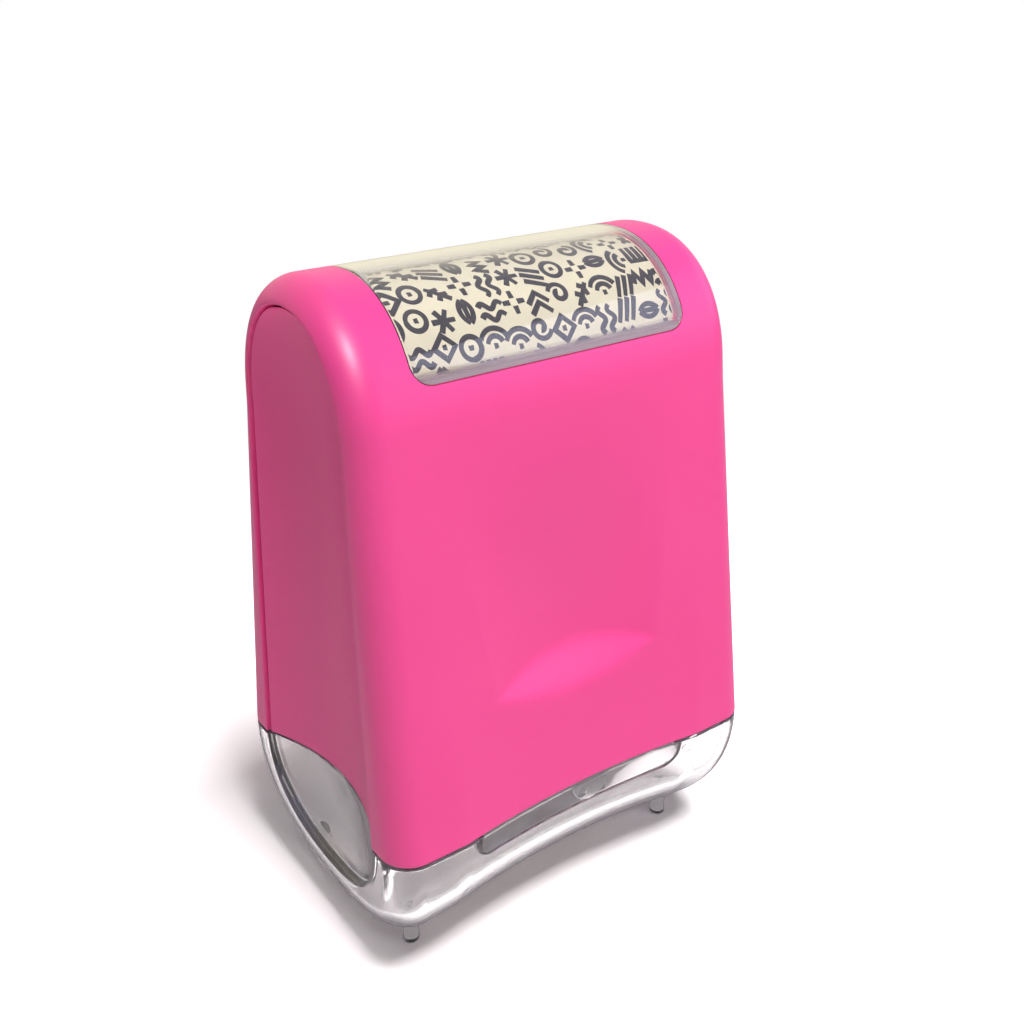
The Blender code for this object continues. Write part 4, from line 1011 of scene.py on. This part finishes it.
def print_card(marks):
    table = arch_table(CARD_STAND)

    def wrap(across, along, level):
        run = abs(along)
        place = next(index for index, entry in enumerate(table) if entry[0] >= run) or 1
        (near, first), (far, second) = table[place - 1], table[place]
        depth, height, lean = arch_row(mix(first, second, (run - near) / (far - near)))
        stand = CARD_STAND - INK_SINK + INK_WALL * level
        return across, math.copysign(depth + stand * math.cos(lean), along), height + stand * math.sin(lean)

    draw = random.Random(PRINT_SEED)
    half = WINDOW_X - CARD_MARGIN - PRINT_SIDE_MARGIN
    low = arch_angle(WINDOW_LOW_Z + CARD_MARGIN)
    reach = next(run for run, angle in table if angle <= low) - PRINT_LOW_MARGIN
    places = []
    for row in range(-6, 7):
        for column in range(-6, 7):
            across = column * PRINT_PITCH_X + (row % 3) * PRINT_PITCH_X / 3
            along = (row + PRINT_STAGGER * (column % 2)) * PRINT_PITCH_Y
            if abs(across) < half + PRINT_PITCH_X / 2 and abs(along) < reach + PRINT_PITCH_Y / 2:
                places.append((draw.choice(marks), across, along, draw.uniform(*PRINT_MARK_SIZES) * MM,
                               draw.choice(QUARTER_TURNS) * math.pi / 2))
    return lay_marks("card_print", places, half, reach, wrap)


def foot_top(x, y):
    flat = cap_half_width(SEAM_Z - CAP_END_DROP) - CAP_LOW_FILLET
    drop = mix(CAP_MIDDLE_DROP, CAP_END_DROP, min(x / flat, 1.0) ** 2)
    share = (1.0 - (y / HOUSING_HALF_DEPTH) ** CAP_EXPONENT) ** (1.0 / CAP_EXPONENT)
    return CAP_RIM_Z - drop * share + CAP_WALL * 3 / 4


def tongue_loop(x, facing):
    """Round the section of the tongue that plugs into the housing, from its root on the cap's wall.

    The root's lower corners are rounded.
    """
    past = max(abs(x) - TONGUE_X + TONGUE_CORNER, 0.0)
    low_z = TONGUE_LOW_Z + TONGUE_CORNER - math.sqrt(max(TONGUE_CORNER ** 2 - past ** 2, 0.0))
    inner = TONGUE_INSET + TONGUE_WALL * (1.0 - TONGUE_TAPER_SHARE * (past / TONGUE_CORNER) ** 2)
    corners = ((TONGUE_ROOT_INSET, low_z), (TONGUE_ROOT_INSET, TONGUE_ROOT_Z), (TONGUE_INSET, TONGUE_ROOT_Z),
               (TONGUE_INSET, TONGUE_HIGH_Z), (inner, TONGUE_HIGH_Z), (inner, low_z))
    return [(x, facing * (flare_depth(z) - face_hollow(x, z) - inset), z) for inset, z in corners]


def cap_catches():
    """Half-round catch pads and small round bumps on the faces. They and the feet are one moulding with the cap."""
    made = []
    for facing in (-1, 1):
        x = -facing * CATCH_X
        face = facing * (HOUSING_HALF_DEPTH - DISH_DEPTH + CATCH_STAND)
        pad = rod("catch", CATCH_RADIUS, (x, face - facing * BURY, CAP_RIM_Z), (x, face, CAP_RIM_Z))
        made.append(round_edges(keep_below(pad, CATCH_TOP_Z), CATCH_EDGE, 2))
        bpy.ops.object.select_all(action="DESELECT")
        bpy.ops.mesh.primitive_uv_sphere_add(segments=32, ring_count=16, radius=1.0, scale=BUMP_SIZE, location=(
            -facing * BUMP_X, facing * (HOUSING_HALF_DEPTH - BUMP_SIZE[1] - BUMP_SINK), BUMP_Z))
        made.append(settle(bpy.context.object))
    return made


def cap_lugs():
    """Small lugs on the rim, which stand in the seam."""
    made = []
    for facing in (-1, 1):
        hollow = face_hollow(LUG_X, SEAM_Z)
        bpy.ops.object.select_all(action="DESELECT")
        bpy.ops.mesh.primitive_cube_add(size=1.0, scale=LUG_SIZE, location=(
            -facing * LUG_X, facing * (HOUSING_HALF_DEPTH - hollow - LUG_SINK), CAP_RIM_Z))
        made.append(round_edges(settle(bpy.context.object), FINE_EDGE))
    return made


def make_cap():
    cap = round_edges(bridge_rims(lay_grid("cap_moulding", cap_loops(), closed=True)), EDGE)
    feet = [round_edges(rod("foot", FOOT_RADIUS, (x * FOOT_X, y * FOOT_Y, 0.0),
                            (x * FOOT_X, y * FOOT_Y, foot_top(FOOT_X, FOOT_Y))), FOOT_EDGE, 5)
            for x in (-1, 1) for y in (-1, 1)]
    tongues = []
    for facing in (-1, 1):
        # The sections lie closer together towards the rounded ends.
        last = 1.2
        rows = [tongue_loop(TONGUE_X * math.sin(turn) / math.sin(last), facing)
                for turn in [-last] + steps(-last, last, 36)]
        tongues.append(round_edges(close_up(lay_grid("tongue", rows, closed=True)), TONGUE_EDGE, 2))
    for name, details in (("cap_feet", feet), ("cap_catches", cap_catches()), ("cap_tongues", tongues),
                          ("cap_lugs", cap_lugs())):
        combine(cap, join(details, name), "UNION")
    shade(cap, CAP_CLEAR)
    stand_for(cap, "cap", "clear_plastic", "clear_cap")


def soften(node, name, body, slot, finish, width):
    """A copy of a CAD solid with its flat faces made whole and its sharp edges rounded, which stands for it."""
    piece = bpy.data.objects.new(name, nodes[node].data.copy())
    piece.data.transform(nodes[node].matrix_world)
    bpy.context.scene.collection.objects.link(piece)
    start_edit(piece)
    bpy.ops.mesh.remove_doubles(threshold=MERGE)
    bpy.ops.mesh.dissolve_limited(angle_limit=math.radians(2.0))
    bpy.ops.mesh.normals_make_consistent(inside=False)
    end_edit()
    shade(round_edges(piece, width, 3, 40.0), finish)
    stand_for(piece, body, slot, node)


def make_sleeve(marks):
    """The printing sleeve: a soft ring with the marks standing out of it."""
    low, high = SLEEVE_LOW.x, SLEEVE_HIGH.x
    base = ROLLER_RADIUS - PRINT_RELIEF
    section = ((low, SLEEVE_BORE), (low, base - SLEEVE_EDGE), (low + SLEEVE_EDGE, base), (high - SLEEVE_EDGE, base),
               (high, base - SLEEVE_EDGE), (high, SLEEVE_BORE))
    turns = [math.tau * step / 128 for step in range(129)]
    ring = close_up(lay_grid("print_sleeve_ring", [
        [(x, radius * math.sin(turn), AXIS_Z + radius * math.cos(turn)) for x, radius in section]
        for turn in turns], closed=True))
    shade(ring, RUBBER)
    stand_for(ring, "roller", "print_rubber", "print_sleeve")

    def wrap(across, along, level):
        # Each stroke of a mark ends at its own height, so that no two tops lie in one face.
        radius = mix(base - RAISED_MARK_SINK, ROLLER_RADIUS, min(level, 1.0)) - RAISED_MARK_STEP * (1.0 - level % 0.5)
        turn = along / ROLLER_RADIUS
        return across, radius * math.sin(turn), AXIS_Z + radius * math.cos(turn)

    draw = random.Random(RAISED_SEED)
    rows, columns = 21, 9
    round_length = math.tau * ROLLER_RADIUS
    pitch_x, pitch_y = (high - low) / columns, round_length / rows
    places = [(draw.choice(marks), low + (column + 0.5) * pitch_x, (row + 0.5) * pitch_y - round_length / 2,
               draw.uniform(*RAISED_MARK_SIZES) * MM, draw.choice(QUARTER_TURNS) * math.pi / 2)
              for row in range(rows) for column in range(columns)]
    raised = lay_marks("print_sleeve_marks", places, high - RAISED_SIDE_MARGIN, round_length / 2, wrap)
    shade(raised, RUBBER, 30.0)
    stand_for(raised, "roller", "print_rubber")


def keep_cad(finishes):
    for names, finish in finishes:
        for name in names:
            nodes[name].data.materials.clear()
            nodes[name].data.materials.append(finish)


set_camera()
set_studio()
mark_shapes = draw_marks()
make_housing()
make_panel("left_panel_moulding", "left_side_panel", -1)
make_panel("right_panel_moulding", "right_side_panel", 1)
make_window(mark_shapes)
make_cap()
make_sleeve(mark_shapes)
for mark_shape in mark_shapes:
    bpy.data.objects.remove(mark_shape, do_unlink=True)
for part_name, its_name, its_body, its_slot, its_finish, its_rounding in (
        ("cartridge_saddle", "cartridge_saddle_moulding", "housing", "frame_plastic", FRAME, 0.2 * MM),
        ("cartridge_frame", "cartridge_frame_moulding", "cartridge", "frame_plastic", FRAME, 0.2 * MM),
        ("cartridge_end_cheek", "end_cheek_moulding", "cartridge", "frame_plastic", FRAME, 0.2 * MM),
        ("ink_plug", "ink_plug_moulding", "roller", "frame_plastic", FRAME, 0.05 * MM),
        ("left_roller_hub", "left_hub_moulding", "roller", "grey_plastic", GREY, 0.12 * MM),
        ("right_roller_hub", "right_hub_moulding", "roller", "grey_plastic", GREY, 0.12 * MM),
        ("roller_axle", "axle_pin", "cartridge", "steel", STEEL, 0.15 * MM),
        ("saddle_screw_left", "saddle_screw_left_turned", "housing", "steel", STEEL, 0.08 * MM),
        ("saddle_screw_right", "saddle_screw_right_turned", "housing", "steel", STEEL, 0.08 * MM),
        ("cheek_screw_front", "cheek_screw_front_turned", "cartridge", "steel", STEEL, 0.05 * MM),
        ("cheek_screw_rear", "cheek_screw_rear_turned", "cartridge", "steel", STEEL, 0.05 * MM)):
    soften(part_name, its_name, its_body, its_slot, its_finish, its_rounding)
keep_cad((
    (("roller_core", "left_thrust_washer", "right_thrust_washer"), GREY),
    (("ink_felt",), FELT),
))
